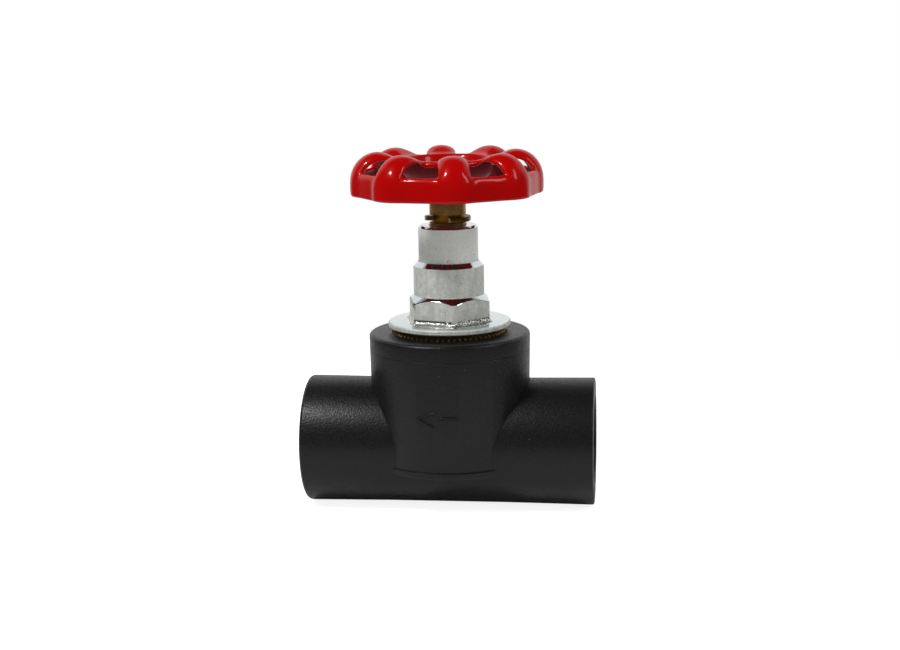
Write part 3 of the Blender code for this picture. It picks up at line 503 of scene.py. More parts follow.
def passage_rings(side, shift, end_radius, bend_steps=14):
    """A water way that bends from a socket to its place below or above the seat."""
    rings = []
    for step in range(bend_steps + 1):
        share = step / bend_steps
        eased = share * share * (3 - 2 * share)
        radius = BORE_RADIUS + (end_radius - BORE_RADIUS) * eased
        rings.append((radius, side * (BEND_START - BEND_LENGTH * share), shift * eased))
    if side > 0:
        for angle in (0, 20, 40, 60, 75, 85):
            reach = end_radius * math.sin(math.radians(angle))
            rings.append((end_radius * math.cos(math.radians(angle)), -reach, shift))
    else:
        rings.append((end_radius, -OUTLET_WAY_END, shift))
    return rings


def stroke(name, start, end):
    """One raised stroke on the neck's skin, laid round it from (arc, level) to (arc, level)."""
    length = math.dist(start, end)
    deselect()
    bpy.ops.mesh.primitive_cube_add(size=1.0, scale=(length, 1.0, STROKE_WIDTH))
    piece = named(bpy.context.active_object, name)
    bpy.ops.object.transform_apply(location=True, rotation=True, scale=True)
    bpy.ops.object.mode_set(mode="EDIT")
    bpy.ops.mesh.select_all(action="SELECT")
    bpy.ops.mesh.subdivide(number_cuts=8)
    bpy.ops.object.mode_set(mode="OBJECT")
    along = Vector((end[0] - start[0], end[1] - start[1])) / length
    middle = ((start[0] + end[0]) / 2, (start[1] + end[1]) / 2)
    for point in piece.data.vertices:
        across = middle[0] + along.x * point.co.x - along.y * point.co.z
        level = middle[1] + along.y * point.co.x + along.x * point.co.z
        taper = 1.0 - min(1.0, abs(point.co.z) / STROKE_WIDTH * 2) ** 2
        crown = STROKE_HEIGHT * (STROKE_EDGE + (1.0 - STROKE_EDGE) * taper)
        radius = neck_radius(level) + (crown if point.co.y < 0.0 else -STROKE_ROOT)
        angle = -math.pi / 2 + across / ARROW_RADIUS
        point.co = Vector((radius * math.cos(angle), radius * math.sin(angle), level)) * MM
    hold(piece)
    bpy.ops.object.mode_set(mode="EDIT")
    finish_edit()
    return piece


def add_body(finish):
    """Run and neck joined, hollowed as the solid is, with the raised arrow of the flow's way."""
    body = drawn("body_shell", run_rings(), ROUND, True)
    combine(body, turned("neck_blank", neck_rings()), "UNION")
    for side in (-1, 1):
        combine(body, drawn("socket_hollow", socket_rings(side), ROUND, True), "DIFFERENCE")
    for name, side, level, radius in WAYS:
        way = drawn(name, passage_rings(side, level, radius), SMALL_ROUND, True)
        combine(body, way, "DIFFERENCE")
    chamber = [
        (8.0, -8.0), (8.0, 0.2), (10.8, 0.2), (10.8, 5.0), (15.5, 5.0), (15.5, 23.7),
        (21.125, 23.7), (21.125, 41.3),
    ]
    combine(body, turned("chamber_hollow", chamber), "DIFFERENCE")
    for start, end in ARROW_STROKES:
        combine(body, stroke("arrow_stroke", start, end), "UNION")
    smooth(body, 30.0)
    place(body, "valve", "body_plastic", finish, "valve_body")


# ---------------------------------------------------------------- insert

TEETH = 64
FACETS_PER_TOOTH = 6
KNURL_DEPTH = 0.75
KNURL_INNER = 20.35
KNURL_FOOT = 35.0
# The tooth tips that take the painted glint: outside this radius, above this level, near each crest
TIP_INNER = 20.1
TIP_FOOT = 35.9
TIP_SHARE = 0.3


def add_insert(dull, tooth_brass_painted_glint):
    """The knurled insert: a plain blank whose knurl is pressed in between its teeth."""
    outline = [
        (16.925, 24.0), (20.3, 24.0), (20.3, 29.0), (18.8, 29.0), (18.8, 35.8), (20.4, 35.8),
        (20.825, 36.2), (20.825, 41.4), (20.4, 41.8), (19.425, 41.8), (19.425, 42.6),
        (19.125, 42.9), (18.325, 42.9), (18.325, 41.0), (16.925, 41.0),
    ]
    insert = turned("insert_ring", outline, TEETH * FACETS_PER_TOOTH, True)
    for point in insert.data.vertices:
        radius = math.hypot(point.co.x, point.co.y) / MM
        if radius > KNURL_INNER and point.co.z > KNURL_FOOT * MM:
            angle = math.atan2(point.co.y, point.co.x)
            tooth = (0.5 + 0.5 * math.cos(angle * TEETH)) ** 1.5
            share = 1.0 - KNURL_DEPTH * (1.0 - tooth) / radius
            point.co.x *= share
            point.co.y *= share
    smooth(insert, 25.0)
    # The insert's body takes a dark olive brass: painted shade, for the shade under the bonnet's
    # flange
    insert.data.materials.append(dull)
    insert.data.materials.append(tooth_brass_painted_glint)
    # Faces on the tooth tips take a paler brass: a painted glint of the key lamp on each tooth
    for face in insert.data.polygons:
        outside = math.hypot(face.center.x, face.center.y) > TIP_INNER * MM
        tip = math.cos(math.atan2(face.center.y, face.center.x) * TEETH) > TIP_SHARE
        face.material_index = 1 if tip and outside and face.center.z > TIP_FOOT * MM else 0
    place(insert, "valve", "bare_brass", None, "neck_insert")


# ---------------------------------------------------------------- bonnet

HEX_TURN = 14.0
HEX_FLATS = 27.5
HEX_BASE = 45.1
HEX_TOP = 54.65
HEX_FILLET = 1.8
BLUNT_REACH = 17.25
BLUNT_LEVEL = 50.9
BLUNT_SIZE = (4.0, 10.0, 9.0)
ARC_WEAR = 0.35
ARC_LEVELS = (50.0, 54.5)
ARC_INNER = 13.2

# Where each plating starts and ends, by level; a steep face below the flange's top is its rim
TORN_LEVELS = (HEX_BASE + 0.13, 46.95)
FLANGE_TOP = 45.05
CONE_RIMS = ((64.8, 65.27), (67.1, 67.6))


def bonnet_outline():
    """The bonnet from its shank's foot up the outside and down its bores."""
    flange = [(21.9, 43.2), (22.15, 43.3), (22.3, 43.55), (22.3, 43.85), (22.18, 43.95)]
    flange += [(22.18, 44.02), (22.3, 44.12)] + arc(21.6, 44.4, 0.7, 0.0, 90.0, 4)
    fillet = arc(15.7 + HEX_FILLET, HEX_BASE + HEX_FILLET, HEX_FILLET, -90.0, -180.0, 5)
    return (
        [(9.9, 25.5), (16.225, 25.5), (16.625, 25.9), (16.625, 43.2)]
        + flange
        + fillet
        + [(15.7, 47.2), (15.7, 52.45), (15.6, 52.65), (12.95, 54.55), (12.8, 54.75)]
        + [(12.8, 64.9), (12.74, 65.04), (12.66, 65.16), (12.54, 65.3), (11.06, 67.06)]
        + [(10.94, 67.2), (10.84, 67.34), (10.8, 67.5), (10.8, 79.2)]
        + [(10.7, 79.35), (10.2, 79.9), (10.05, 80.0), (7.3, 80.0), (6.9, 79.6), (6.9, 65.2)]
        + [(8.5, 65.2), (8.5, 60.0), (7.83, 60.0), (7.83, 39.0), (9.5, 39.0), (9.5, 25.9)]
    )


def hexagon_plug():
    """The hexagon with its rounded foot, flared out ring by ring."""
    corner = HEX_FLATS / 2 / math.cos(math.pi / 6)
    foot = arc(corner + HEX_FILLET, HEX_BASE + HEX_FILLET, HEX_FILLET, -90.0, -180.0, 5)
    outline = [(corner + HEX_FILLET, HEX_BASE - 1.0)] + foot + [(corner, HEX_TOP + 1.0)]
    plug = turned("hexagon_plug", outline, 6)
    turn = math.radians(HEX_TURN - 90.0) - math.atan2(
        plug.data.vertices[0].co.y, plug.data.vertices[0].co.x
    )
    plug.data.transform(Matrix.Rotation(turn, 4, "Z"))
    return plug


def add_bonnet(forged, bright, torn):
    """Turned blank, flats cut round the hexagon and one blunt corner, six-sided guide inside."""
    bonnet = turned("bonnet_shell", bonnet_outline(), ROUND, True)
    trimmer = turned("trimmer", [(25.0, HEX_BASE + 0.1), (25.0, HEX_TOP)])
    combine(trimmer, hexagon_plug(), "DIFFERENCE")
    combine(bonnet, trimmer, "DIFFERENCE")
    corner = math.radians(HEX_TURN - 90.0)
    deselect()
    bpy.ops.mesh.primitive_cube_add(
        size=1.0,
        scale=[side * MM for side in BLUNT_SIZE],
        location=(
            BLUNT_REACH * MM * math.cos(corner),
            BLUNT_REACH * MM * math.sin(corner),
            BLUNT_LEVEL * MM,
        ),
        rotation=(0.0, 0.0, corner),
    )
    blunt = named(bpy.context.active_object, "blunt_corner")
    bpy.ops.object.transform_apply(location=True, rotation=True, scale=True)
    combine(bonnet, blunt, "DIFFERENCE")
    combine(bonnet, prism("guide", 17.4, 6, 38.6, 60.0, HEX_TURN), "DIFFERENCE")
    arcs = bonnet.vertex_groups.new(name="hexagon_arcs")
    for point in bonnet.data.vertices:
        reach = math.hypot(point.co.x, point.co.y) / MM
        if ARC_LEVELS[0] < point.co.z / MM < ARC_LEVELS[1] and reach > ARC_INNER:
            arcs.add([point.index], 1.0, "REPLACE")
    worn = bonnet.modifiers.new("worn_arcs", "BEVEL")
    worn.width = ARC_WEAR * MM
    worn.segments = 3
    worn.limit_method = "VGROUP"
    worn.vertex_group = arcs.name
    worn.use_clamp_overlap = False
    apply_step(bonnet, worn)
    smooth(bonnet, 24.0)
    bonnet.data.materials.append(forged)
    bonnet.data.materials.append(bright)
    bonnet.data.materials.append(torn)
    for face in bonnet.data.polygons:
        level = face.center.z / MM
        rim = level < FLANGE_TOP and abs(face.normal.z) < 0.95
        rim = rim or any(low < level < high for low, high in CONE_RIMS)
        if TORN_LEVELS[0] < level < TORN_LEVELS[1]:
            face.material_index = 2
        elif abs(face.normal.z) > 0.25 and not rim:
            face.material_index = 1
    place(bonnet, "valve", "plated_brass", None, "bonnet")


# ---------------------------------------------------------------- spindle and clip

# The clip's groove, by level and by the radius that its faces stay inside
GROOVE_LEVELS = (80.9, 84.1)
GROOVE_OUTER = 6.5


def add_spindle(dull, fresh):
    """Spindle with its collar, seal and clip grooves, square end and tapped hole."""
    outline = [
        (5.6, 40.0), (6.0, 40.4), (6.0, 60.3), (8.2, 60.3), (8.2, 63.9), (6.6, 63.9),
        (6.6, 68.7), (5.2, 68.7), (5.2, 70.7), (6.6, 70.7), (6.6, 73.7), (5.2, 73.7),
        (5.2, 75.7), (6.6, 75.7), (6.6, 81.0), (5.7, 81.0), (5.7, 84.0), (6.6, 84.0),
        (6.6, 91.3), (6.45, 91.6), (6.2, 91.7),
    ]
    spindle = turned("spindle_rod", outline, SMALL_ROUND)
    combine(spindle, prism("square_end", 7.0, 4, 91.4, 97.1, 45.0), "UNION")
    combine(spindle, prism("tapped_hole", 5.6, 32, 85.1, 98.0), "DIFFERENCE")
    smooth(spindle, 30.0)
    # Faces in the clip groove take a fresh-cut brass, also painted brighter: a painted sheen in the
    # groove's shade
    spindle.data.materials.append(dull)
    spindle.data.materials.append(fresh)
    for face in spindle.data.polygons:
        inside = math.hypot(face.center.x, face.center.y) < GROOVE_OUTER * MM
        level = face.center.z / MM
        in_groove = inside and GROOVE_LEVELS[0] < level < GROOVE_LEVELS[1]
        face.material_index = 1 if in_groove else 0
    place(spindle, "wheel_group", "bare_brass", None, "spindle")


# The saw cut as (across, out) seen from the gap's side, and how far the ring is wound and sprung
CLIP_FACING = math.radians(-83.0)
CLIP_CUT = ((-5.0, 12.0), (1.95, 12.0), (-0.63, 3.0), (-5.0, 3.0))
CLIP_LEAD = 0.2
CLIP_SPRING = 0.75
SPRING_START = 250.0
SPRING_ARC = 75.0


def add_clip(dull, cut):
    """A flat ring sawn open, its left end sprung up and out of its plane."""
    outline = [
        (5.9, 81.6), (8.15, 81.6), (8.35, 81.8), (8.35, 83.1), (8.15, 83.3), (5.9, 83.3),
    ]
    clip = turned("clip_ring", outline, SMALL_ROUND * 2, True)
    deselect()
    bpy.ops.mesh.primitive_cylinder_add(
        vertices=4, radius=20.0 * MM, depth=4.0 * MM, location=(0.0, 0.0, 82.45 * MM)
    )
    saw = named(bpy.context.active_object, "saw_cut")
    bpy.ops.object.transform_apply(location=True, rotation=True, scale=True)
    ahead = Vector((math.cos(CLIP_FACING), math.sin(CLIP_FACING)))
    levels = sorted({round(v.co.z, 6) for v in saw.data.vertices})
    for level in levels:
        points = [v for v in saw.data.vertices if round(v.co.z, 6) == level]
        for point, (across, out) in zip(points, CLIP_CUT):
            point.co.x = (out * ahead.x - across * ahead.y) * MM
            point.co.y = (out * ahead.y + across * ahead.x) * MM
    hold(saw)
    bpy.ops.object.mode_set(mode="EDIT")
    finish_edit()
    combine(clip, saw, "DIFFERENCE")
    for point in clip.data.vertices:
        turn = math.degrees(math.atan2(point.co.y, point.co.x) - CLIP_FACING) % 360.0
        sprung = max(0.0, (turn - SPRING_START) / SPRING_ARC)
        point.co.z += (CLIP_LEAD * (turn / 360.0 - 1.0) + CLIP_SPRING * sprung) * MM
    rounded(clip, 0.06)
    smooth(clip, 30.0)
    # The clip's dark brown brass is painted shade, for the wheel's shade over the clip
    clip.data.materials.append(dull)
    clip.data.materials.append(cut)
    # Faces of the saw cut take a pale, partly matt brass: a painted highlight where the cut end
    # sits in shade
    for face in clip.data.polygons:
        outward = Vector((face.center.x, face.center.y)).normalized()
        round_wall = abs(outward.dot(Vector((face.normal.x, face.normal.y)))) > 0.6
        face.material_index = 0 if round_wall or abs(face.normal.z) > 0.5 else 1
    place(clip, "wheel_group", "bare_brass", None, "spindle_clip")


# ---------------------------------------------------------------- handwheel

HUB_BASE = 92.0
LOBES = 8
LOBE_TURN = math.radians(-90.0 + 11.8)
SECTOR = 2 * math.pi / LOBES
WALL = 2.0
RING_WALL_SHARE = 0.6
RING_WALL_REACH = 2.0
MIDDLE_RADIUS = 4.4
RING_RADIUS = 17.0
RING_HEIGHT = 10.85
RING_ROLL = 1.4
CREST_RADIUS = 24.8
CREST_HEIGHT = 14.9
CREST_RISE = 2.65
SKIRT_REACH = 10.15
SKIRT_DROP = 10.6
LOBE_HALF_WIDTH = 4.8
LOBE_SPREAD = 1.1
LOBE_LENGTH = 17.9
LOBE_STEPS = (0.0, 20.0, 40.0, 60.0, 77.0, 90.0)
VALLEY_STEPS = (0.25, 0.65)
EDGE_HEIGHT = 7.95
EDGE_RADIUS = 30.8
LIP = (18.4, 9.95)
ARCH_RISE = 2.7
SWELL_WIDTH = math.radians(15.5)


def dish_rows():
    """Half section shared by lobes and valleys: dish floor, dish wall and ring."""
    floor = [(4.2, 6.0), (7.6, 6.0), (8.6, 6.0), (10.4, 6.0)]
    ring = arc(RING_RADIUS, RING_HEIGHT, RING_ROLL, 165.0, 90.0, 3)
    return floor + arc(11.5, 9.0, 3.0, -68.0, -8.0, 3) + ring


def valley_rows():
    """Half section between two lobes, with where its window starts and ends."""
    inner = dish_rows()
    lip = arc(RING_RADIUS, RING_HEIGHT, RING_ROLL, 45.0, 0.0, 2) + [LIP]
    window_start = len(inner) + len(lip) - 1
    bridge = []
    for step in range(1, 6):
        share = step / 6
        across = LIP[0] + (EDGE_RADIUS - LIP[0]) * share
        bridge.append((across, LIP[1] + (EDGE_HEIGHT - LIP[1]) * share))
    window_end = window_start + len(bridge) + 1
    shoulder = [(31.75, 7.55), (32.35, 6.75), (32.6, 5.6)]
    foot = [(32.7, 3.6), (32.7, 1.4), (32.7, -0.1), (32.5, -0.75), (31.9, -0.95)]
    rows = inner + lip + bridge + [(EDGE_RADIUS, EDGE_HEIGHT)] + shoulder + foot
    return rows, window_start, window_end


def lobe_rows(count):
    """Half section along a lobe's ridge: up from the ring, over the crest, down to the foot."""
    inner = dish_rows()
    start = inner[-1][0]
    climbing = 5
    ridge = []
    for step in range(1, climbing + 1):
        share = step / climbing
        climbed = math.sin(share * math.pi / 2) ** 1.5
        level = CREST_HEIGHT - CREST_RISE * (1.0 - climbed)
        ridge.append((start + (CREST_RADIUS - start) * share, level))
    falling = count - len(inner) - climbing - 5
    for step in range(1, falling + 1):
        angle = math.radians(90.0 * step / falling)
        level = CREST_HEIGHT - SKIRT_DROP * (1.0 - math.cos(angle))
        ridge.append((CREST_RADIUS + SKIRT_REACH * math.sin(angle), level))
    ridge += [(34.98, 2.9), (34.95, 1.2), (34.9, -0.1), (34.6, -0.75), (34.0, -0.95)]
    return inner + ridge


def lobe_half_angle(radius):
    share = min(max((radius - RING_RADIUS) / LOBE_LENGTH, 0.0), 1.0)
    half_width = LOBE_HALF_WIDTH + LOBE_SPREAD * share
    return min(half_width / radius, LOBE_HALF_WIDTH / RING_RADIUS)


def wheel_point(row, share, gap, valley, lobe, window_start, window_end):
    """A point of the sheet: an arch over the windows that turns into a soft swell of the skirt."""
    low_radius, low_height = valley[row]
    high_radius, high_height = lobe[row]
    half = lobe_half_angle(low_radius)
    turn = share * half + gap * (SECTOR / 2 - half)
    along = (row - window_start) / (window_end - window_start)
    if 0.0 < along < 1.0:
        low_height += ARCH_RISE * (1.0 - abs(2.0 * along - 1.0) ** 3)
    arch = math.sqrt(max(0.0, 1.0 - share * share))
    reach = min(1.0, abs(turn) / SWELL_WIDTH)
    swell = (1.0 - reach ** 2.4) ** 2
    below = min(1.0, max(0.0, (row - window_end + 1.0) / 4.0))
    lift = arch + (swell - arch) * below
    radius = low_radius + (high_radius - low_radius) * lift
    height = low_height + (high_height - low_height) * lift
    return radius, height, turn


def wheel_columns():
    """Places across a sector, left to right: share of the lobe's half and of the gap beside it."""
    right_half = [(math.sin(math.radians(step)), 0.0) for step in LOBE_STEPS]
    right_half += [(1.0, gap) for gap in VALLEY_STEPS]
    left_half = [(-share, -gap) for share, gap in right_half[:0:-1]]
    return left_half + right_half + [(1.0, 2.0 - VALLEY_STEPS[-1])]


def wheel_sector():
    """One lobe's sheet with the valleys beside it, shaped from a grid, its windows left open."""
    valley, window_start, window_end = valley_rows()
    lobe = lobe_rows(len(valley))
    columns = wheel_columns()
    lobe_first = len(VALLEY_STEPS)
    lobe_last = lobe_first + 2 * (len(LOBE_STEPS) - 1)
    deselect()
    bpy.ops.mesh.primitive_grid_add(
        x_subdivisions=len(columns) - 1, y_subdivisions=len(valley) - 1, size=1.0
    )
    wheel = named(bpy.context.active_object, "wheel_shell")
    for number, point in enumerate(wheel.data.vertices):
        row, column = divmod(number, len(columns))
        share, gap = columns[column]
        mirrored = gap > 1.0
        radius, height, turn = wheel_point(
            row, -1.0 if mirrored else share, gap - 2.0 if mirrored else gap,
            valley, lobe, window_start, window_end,
        )
        angle = LOBE_TURN + turn + (SECTOR if mirrored else 0.0)
        point.co = Vector((
            radius * math.cos(angle), radius * math.sin(angle), HUB_BASE + height,
        )) * MM
    hold(wheel)
    bpy.ops.object.mode_set(mode="EDIT")
    bpy.ops.mesh.select_mode(type="FACE")
    bpy.ops.mesh.select_all(action="DESELECT")
    bpy.ops.object.mode_set(mode="OBJECT")
    for number, face in enumerate(wheel.data.polygons):
        row, column = divmod(number, len(columns) - 1)
        in_lobe = lobe_first <= column < lobe_last
        face.select = window_start <= row < window_end and not in_lobe
    bpy.ops.object.mode_set(mode="EDIT")
    bpy.ops.mesh.delete(type="FACE")
    bpy.ops.mesh.select_mode(type="VERT")
    bpy.ops.object.mode_set(mode="OBJECT")
    return wheel


def copy_round(wheel):
    """Turn copies of the sector round the axis and join them into one sheet."""
    sectors = [wheel]
    for number in range(1, LOBES):
        hold(wheel)
        bpy.ops.object.duplicate(linked=False)
        copy = bpy.context.active_object
        copy.rotation_euler = (0.0, 0.0, number * SECTOR)
        bpy.ops.object.transform_apply(location=True, rotation=True, scale=True)
        sectors.append(copy)
    deselect()
    for each in sectors:
        each.select_set(True)
    bpy.context.view_layer.objects.active = wheel
    bpy.ops.object.join()
    bpy.ops.object.mode_set(mode="EDIT")
    bpy.ops.mesh.select_all(action="SELECT")
    bpy.ops.mesh.remove_doubles(threshold=0.00002)
    bpy.ops.mesh.select_all(action="DESELECT")
    bpy.ops.object.mode_set(mode="OBJECT")


def close_middle(wheel):
    """Fill the sheet's open middle and turn its outer side upwards."""
    for point in wheel.data.vertices:
        point.select = math.hypot(point.co.x, point.co.y) < MIDDLE_RADIUS * MM
    bpy.ops.object.mode_set(mode="EDIT")
    bpy.ops.mesh.edge_face_add()
    bpy.ops.mesh.select_all(action="SELECT")
    bpy.ops.mesh.normals_make_consistent(inside=False)
    bpy.ops.object.mode_set(mode="OBJECT")
    top = max(wheel.data.polygons, key=lambda face: len(face.vertices))
    if top.normal.z < 0.0:
        hold(wheel)
        bpy.ops.object.mode_set(mode="EDIT")
        bpy.ops.mesh.select_all(action="SELECT")
        bpy.ops.mesh.flip_normals()
        bpy.ops.object.mode_set(mode="OBJECT")


def thicken(wheel):
    """Give the sheet a wall, thin at the ring and in the second finish inside, and smooth it."""
    thin = wheel.vertex_groups.new(name="wall_share")
    for point in wheel.data.vertices:
        radius = math.hypot(point.co.x, point.co.y) / MM
        near_ring = abs(radius - RING_RADIUS) < RING_WALL_REACH
        thin.add([point.index], RING_WALL_SHARE if near_ring else 1.0, "REPLACE")
    wall = wheel.modifiers.new("wall", "SOLIDIFY")
    wall.thickness = WALL * MM
    wall.offset = -1.0
    wall.use_even_offset = True
    wall.vertex_group = thin.name
    # Inside faces take the second finish, whose dark red-brown is painted shade
    wall.material_offset = 1
    apply_step(wheel, wall)
    skin = wheel.modifiers.new("skin", "SUBSURF")
    skin.levels = 2
    skin.render_levels = 2
    apply_step(wheel, skin)


def add_wheel(enamel, inside_enamel_painted_shade):
    """One lobe's sheet copied round, closed, given its wall and its square-bored hub."""
    wheel = wheel_sector()
    copy_round(wheel)
    close_middle(wheel)
    wheel.data.materials.append(enamel)
    wheel.data.materials.append(inside_enamel_painted_shade)
    thicken(wheel)
    hub = turned("hub", [(8.2, 92.0), (8.5, 92.3), (8.5, 97.2)], SMALL_ROUND)
    combine(wheel, hub, "UNION")
    combine(wheel, prism("hub_square", 7.6, 4, 91.5, 98.6, 45.0), "DIFFERENCE")
    smooth(wheel, 40.0)
    place(wheel, "wheel_group", "red_enamel", None, "handwheel")


def add_wheel_fastening(finish):
    """Washer and cross-recessed screw down in the dish."""
    washer = turned(
        "wheel_washer_ring",
        [(2.8, 98.3), (6.4, 98.3), (6.5, 98.4), (6.5, 99.2), (6.4, 99.3), (2.8, 99.3)],
        SMALL_ROUND,
        True,
    )
    smooth(washer)
    place(washer, "wheel_group", "fastener_steel", finish, "wheel_washer")
    low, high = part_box("wheel_screw")
    head_base = 99.6
    head_top = high.z / MM
    crown = [(4.5, head_top - 1.1), (4.1, head_top - 0.5), (3.2, head_top - 0.12)]
    outline = [(2.1, low.z / MM), (2.5, low.z / MM + 0.4), (2.5, head_base), (4.4, head_base)]
    outline += [(4.5, head_base + 0.1)] + crown + [(2.0, head_top)]
    screw = turned("wheel_screw_head", outline, SMALL_ROUND)
    for turn in (0.0, math.pi / 2):
        deselect()
        bpy.ops.mesh.primitive_cube_add(
            size=1.0,
            scale=(4.6 * MM, 0.9 * MM, 3.0 * MM),
            location=(0.0, 0.0, (head_top + 0.1) * MM),
            rotation=(0.0, 0.0, turn + 0.4),
        )
        slot = named(bpy.context.active_object, "cross_recess")
        bpy.ops.object.transform_apply(location=True, rotation=True, scale=True)
        bpy.ops.object.mode_set(mode="EDIT")
        bpy.ops.mesh.select_all(action="DESELECT")
        bpy.ops.object.mode_set(mode="OBJECT")
        for face in slot.data.polygons:
            face.select = face.normal.z < -0.9
        bpy.ops.object.mode_set(mode="EDIT")
        bpy.ops.transform.resize(value=(0.5, 0.5, 1.0))
        finish_edit()
        combine(screw, slot, "DIFFERENCE")
    smooth(screw)
    place(screw, "wheel_group", "fastener_steel", finish, "wheel_screw")


# ---------------------------------------------------------------- studio

def add_camera():
    """The camera where the photograph's was, from the fitted angles."""
    azimuth, elevation = math.radians(AZIMUTH), math.radians(ELEVATION)
    back = Vector((
        math.sin(azimuth) * math.cos(elevation),
        -math.cos(azimuth) * math.cos(elevation),
        math.sin(elevation),
    ))
    right = Vector((0.0, 0.0, 1.0)).cross(back).normalized()
    up = back.cross(right)
    turns = (
        Matrix.Rotation(math.radians(ROLL), 3, "Z")
        @ Matrix.Rotation(math.radians(TILT), 3, "X")
        @ Matrix.Rotation(math.radians(PAN), 3, "Y")
    )
    to_camera = turns @ Matrix((right, up, back))
    lens = bpy.data.cameras.new("camera")
    lens.sensor_fit = "HORIZONTAL"
    lens.sensor_width = 36.0
    lens.lens = FOCAL_PIXELS * lens.sensor_width / IMAGE[0]
    lens.clip_start = 0.01
    camera = bpy.data.objects.new("camera", lens)
    bpy.context.scene.collection.objects.link(camera)
    stand = to_camera.transposed().to_4x4()
    stand.translation = back * CAMERA_DISTANCE * MM
    camera.matrix_world = stand
    bpy.context.scene.camera = camera


def add_softbox(name, direction, distance, width, height, watts):
    """A lamp box in the given direction from the object's middle, facing it; metres and watts."""
    box = bpy.data.lights.new(name, "AREA")
    box.shape = "ELLIPSE"
    box.size = width
    box.size_y = height
    box.energy = watts
    lamp = bpy.data.objects.new(name, box)
    bpy.context.scene.collection.objects.link(lamp)
    towards = Vector(direction).normalized()
    lamp.location = Vector((0.0, 0.0, 0.045)) + towards * distance
    lamp.rotation_euler = towards.to_track_quat("Z", "Y").to_euler()


def add_world():
    """A white backdrop behind the object, which metal and gloss show too, and a dim room."""
    world = bpy.data.worlds.new("studio")
    bpy.context.scene.world = world
    world.use_nodes = True
    tree = world.node_tree
    tree.nodes.clear()
    way = add(tree, "TexCoord").outputs["Generated"]
    parts = add(tree, "SeparateXYZ", None, {0: way}).outputs
    reach = add(tree, "Math", {"operation": "MULTIPLY_ADD"}, {0: parts[2], 1: 0.6, 2: parts[1]})
    behind = ramp(tree, reach.outputs[0], 0.5, 0.72, 0.0, 1.0)
    not_above = ramp(tree, parts[2], 0.6, 0.8, 1.0, 0.0)
    sheet = add(tree, "Math", {"operation": "MULTIPLY"}, {0: behind, 1: not_above}).outputs[0]
    room = ramp(tree, parts[2], 0.65, 0.85, ROOM_BELOW, ROOM_ABOVE)
    backdrop = add(tree, "Math", {"operation": "MULTIPLY_ADD"}, {
        0: sheet, 1: SHEET_LEVEL, 2: room,
    }).outputs[0]
    path = add(tree, "LightPath").outputs
    shown = add(tree, "Math", {"operation": "MAXIMUM"}, {
        0: path["Is Glossy Ray"], 1: path["Is Transmission Ray"],
    }).outputs[0]
    lit = add(tree, "Mix", {"data_type": "FLOAT"}, {
        0: shown, 2: ROOM_LEVEL, 3: backdrop,
    }).outputs[0]
    strength = add(tree, "Mix", {"data_type": "FLOAT"}, {
        0: path["Is Camera Ray"], 2: lit, 3: 1.0,
    }).outputs[0]
    light = add(tree, "Background", None, {"Color": (1.0, 1.0, 1.0, 1.0), "Strength": strength})
    end = add(tree, "OutputWorld")
    tree.links.new(light.outputs[0], end.inputs["Surface"])


def add_floor():
    """A plain pale table that looks white to the camera and keeps the object's shadow."""
    deselect()
    bpy.ops.mesh.primitive_circle_add(
        vertices=96, radius=FLOOR_RADIUS, fill_type="NGON",
        location=(0.0, 0.0, (FLOOR_HEIGHT - 0.02) * MM),
    )
    floor = named(bpy.context.active_object, "floor")
    finish = bpy.data.materials.new("paper_white")
    finish.use_nodes = True
    tree = finish.node_tree
    tree.nodes.clear()
    paper = add(tree, "BsdfDiffuse", None, {"Color": rgba("E8E8E6")}).outputs[0]
    path = add(tree, "LightPath")
    seen = add(tree, "Math", {"operation": "MULTIPLY"}, {
        0: path.outputs["Is Camera Ray"], 1: FLOOR_GLOW,
    })
    glow = add(tree, "Emission", None, {"Strength": seen.outputs[0]}).outputs[0]
    both = add(tree, "AddShader", None, {0: paper, 1: glow}).outputs[0]
    end = add(tree, "OutputMaterial")
    tree.links.new(both, end.inputs["Surface"])
    floor.data.materials.append(finish)


def add_lights():
    add_softbox("key_left", (-0.48, -0.43, 0.765), 1.5, 0.235, 0.235, 14.0)
    add_softbox("fill_right", (0.77, -0.30, 0.56), 0.8, 0.15, 0.5, 1.3)


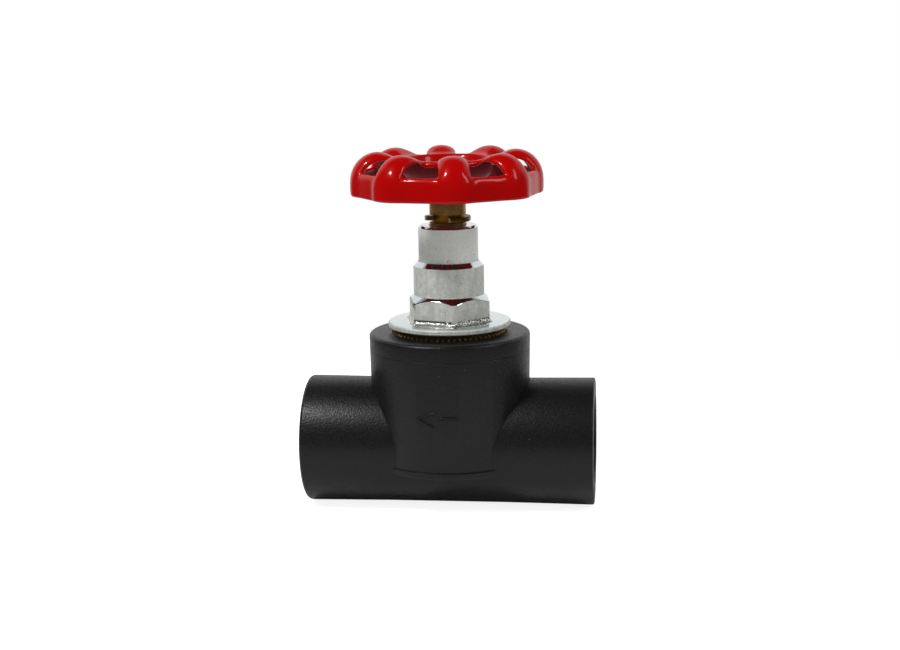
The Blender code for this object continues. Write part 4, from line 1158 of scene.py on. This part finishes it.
# ---------------------------------------------------------------- the valve

plastic = moulded_polyethylene()
forged = plated_forging()
bright = plated_turning()
rod_brass = machined_brass("brass_turned_dull", "86683C", "CC9C5C", 0.42)
# Dark olive brass of the insert: painted shade under the flange
insert_brass_painted_shade = machined_brass("brass_insert_painted_shade", "4E4830", "6E6644", 0.42)
# Pale brass of the knurl tips: a painted glint
tooth_brass_painted_glint = machined_brass("brass_knurl_tips_painted_glint", "B08A40", "E0BC70", 0.25)
# Pale, partly matt brass of the clip's sawn end: a painted highlight
sawn_brass_painted_highlight = machined_brass("brass_sawn_end_painted_highlight", "DCCF86", "F4EAB4", 0.5, 0.3)
# Fresh-cut brass of the spindle groove, painted brighter as a painted sheen
fresh_brass_painted_sheen = machined_brass("brass_turned_fresh_painted_sheen", "945C10", "D09028", 0.34)
# Dark brown brass of the clip: painted shade
clip_brass_painted_shade = machined_brass("brass_clip_painted_shade", "50390F", "85652A", 0.3)
torn = plated_foot()
enamel = baked_enamel()
# Dark red-brown enamel inside the wheel: painted shade
inside_enamel_painted_shade = shaded_inside_enamel()
steel = plated_steel()
rubber = moulded_rubber()
slip = slip_ring_plastic()

bpy.context.scene.view_settings.view_transform = "Standard"
add_camera()
add_world()
add_floor()
add_lights()
add_body(plastic)
add_insert(insert_brass_painted_shade, tooth_brass_painted_glint)
add_bonnet(forged, bright, torn)
add_spindle(rod_brass, fresh_brass_painted_sheen)
add_clip(clip_brass_painted_shade, sawn_brass_painted_highlight)
add_wheel(enamel, inside_enamel_painted_shade)
add_wheel_fastening(steel)

INNER_FINISHES = {
    "seat_ring": rod_brass,
    "plunger": rod_brass,
    "insert_seal_ring": rubber,
    "bonnet_oring": rubber,
    "spindle_oring_lower": rubber,
    "spindle_oring_upper": rubber,
    "plunger_oring": rubber,
    "seat_washer": rubber,
    "thrust_washer": slip,
    "washer_plate": steel,
    "washer_screw": steel,
}
for node, finish in INNER_FINISHES.items():
    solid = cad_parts[node]
    solid.data.materials.clear()
    solid.data.materials.append(finish)
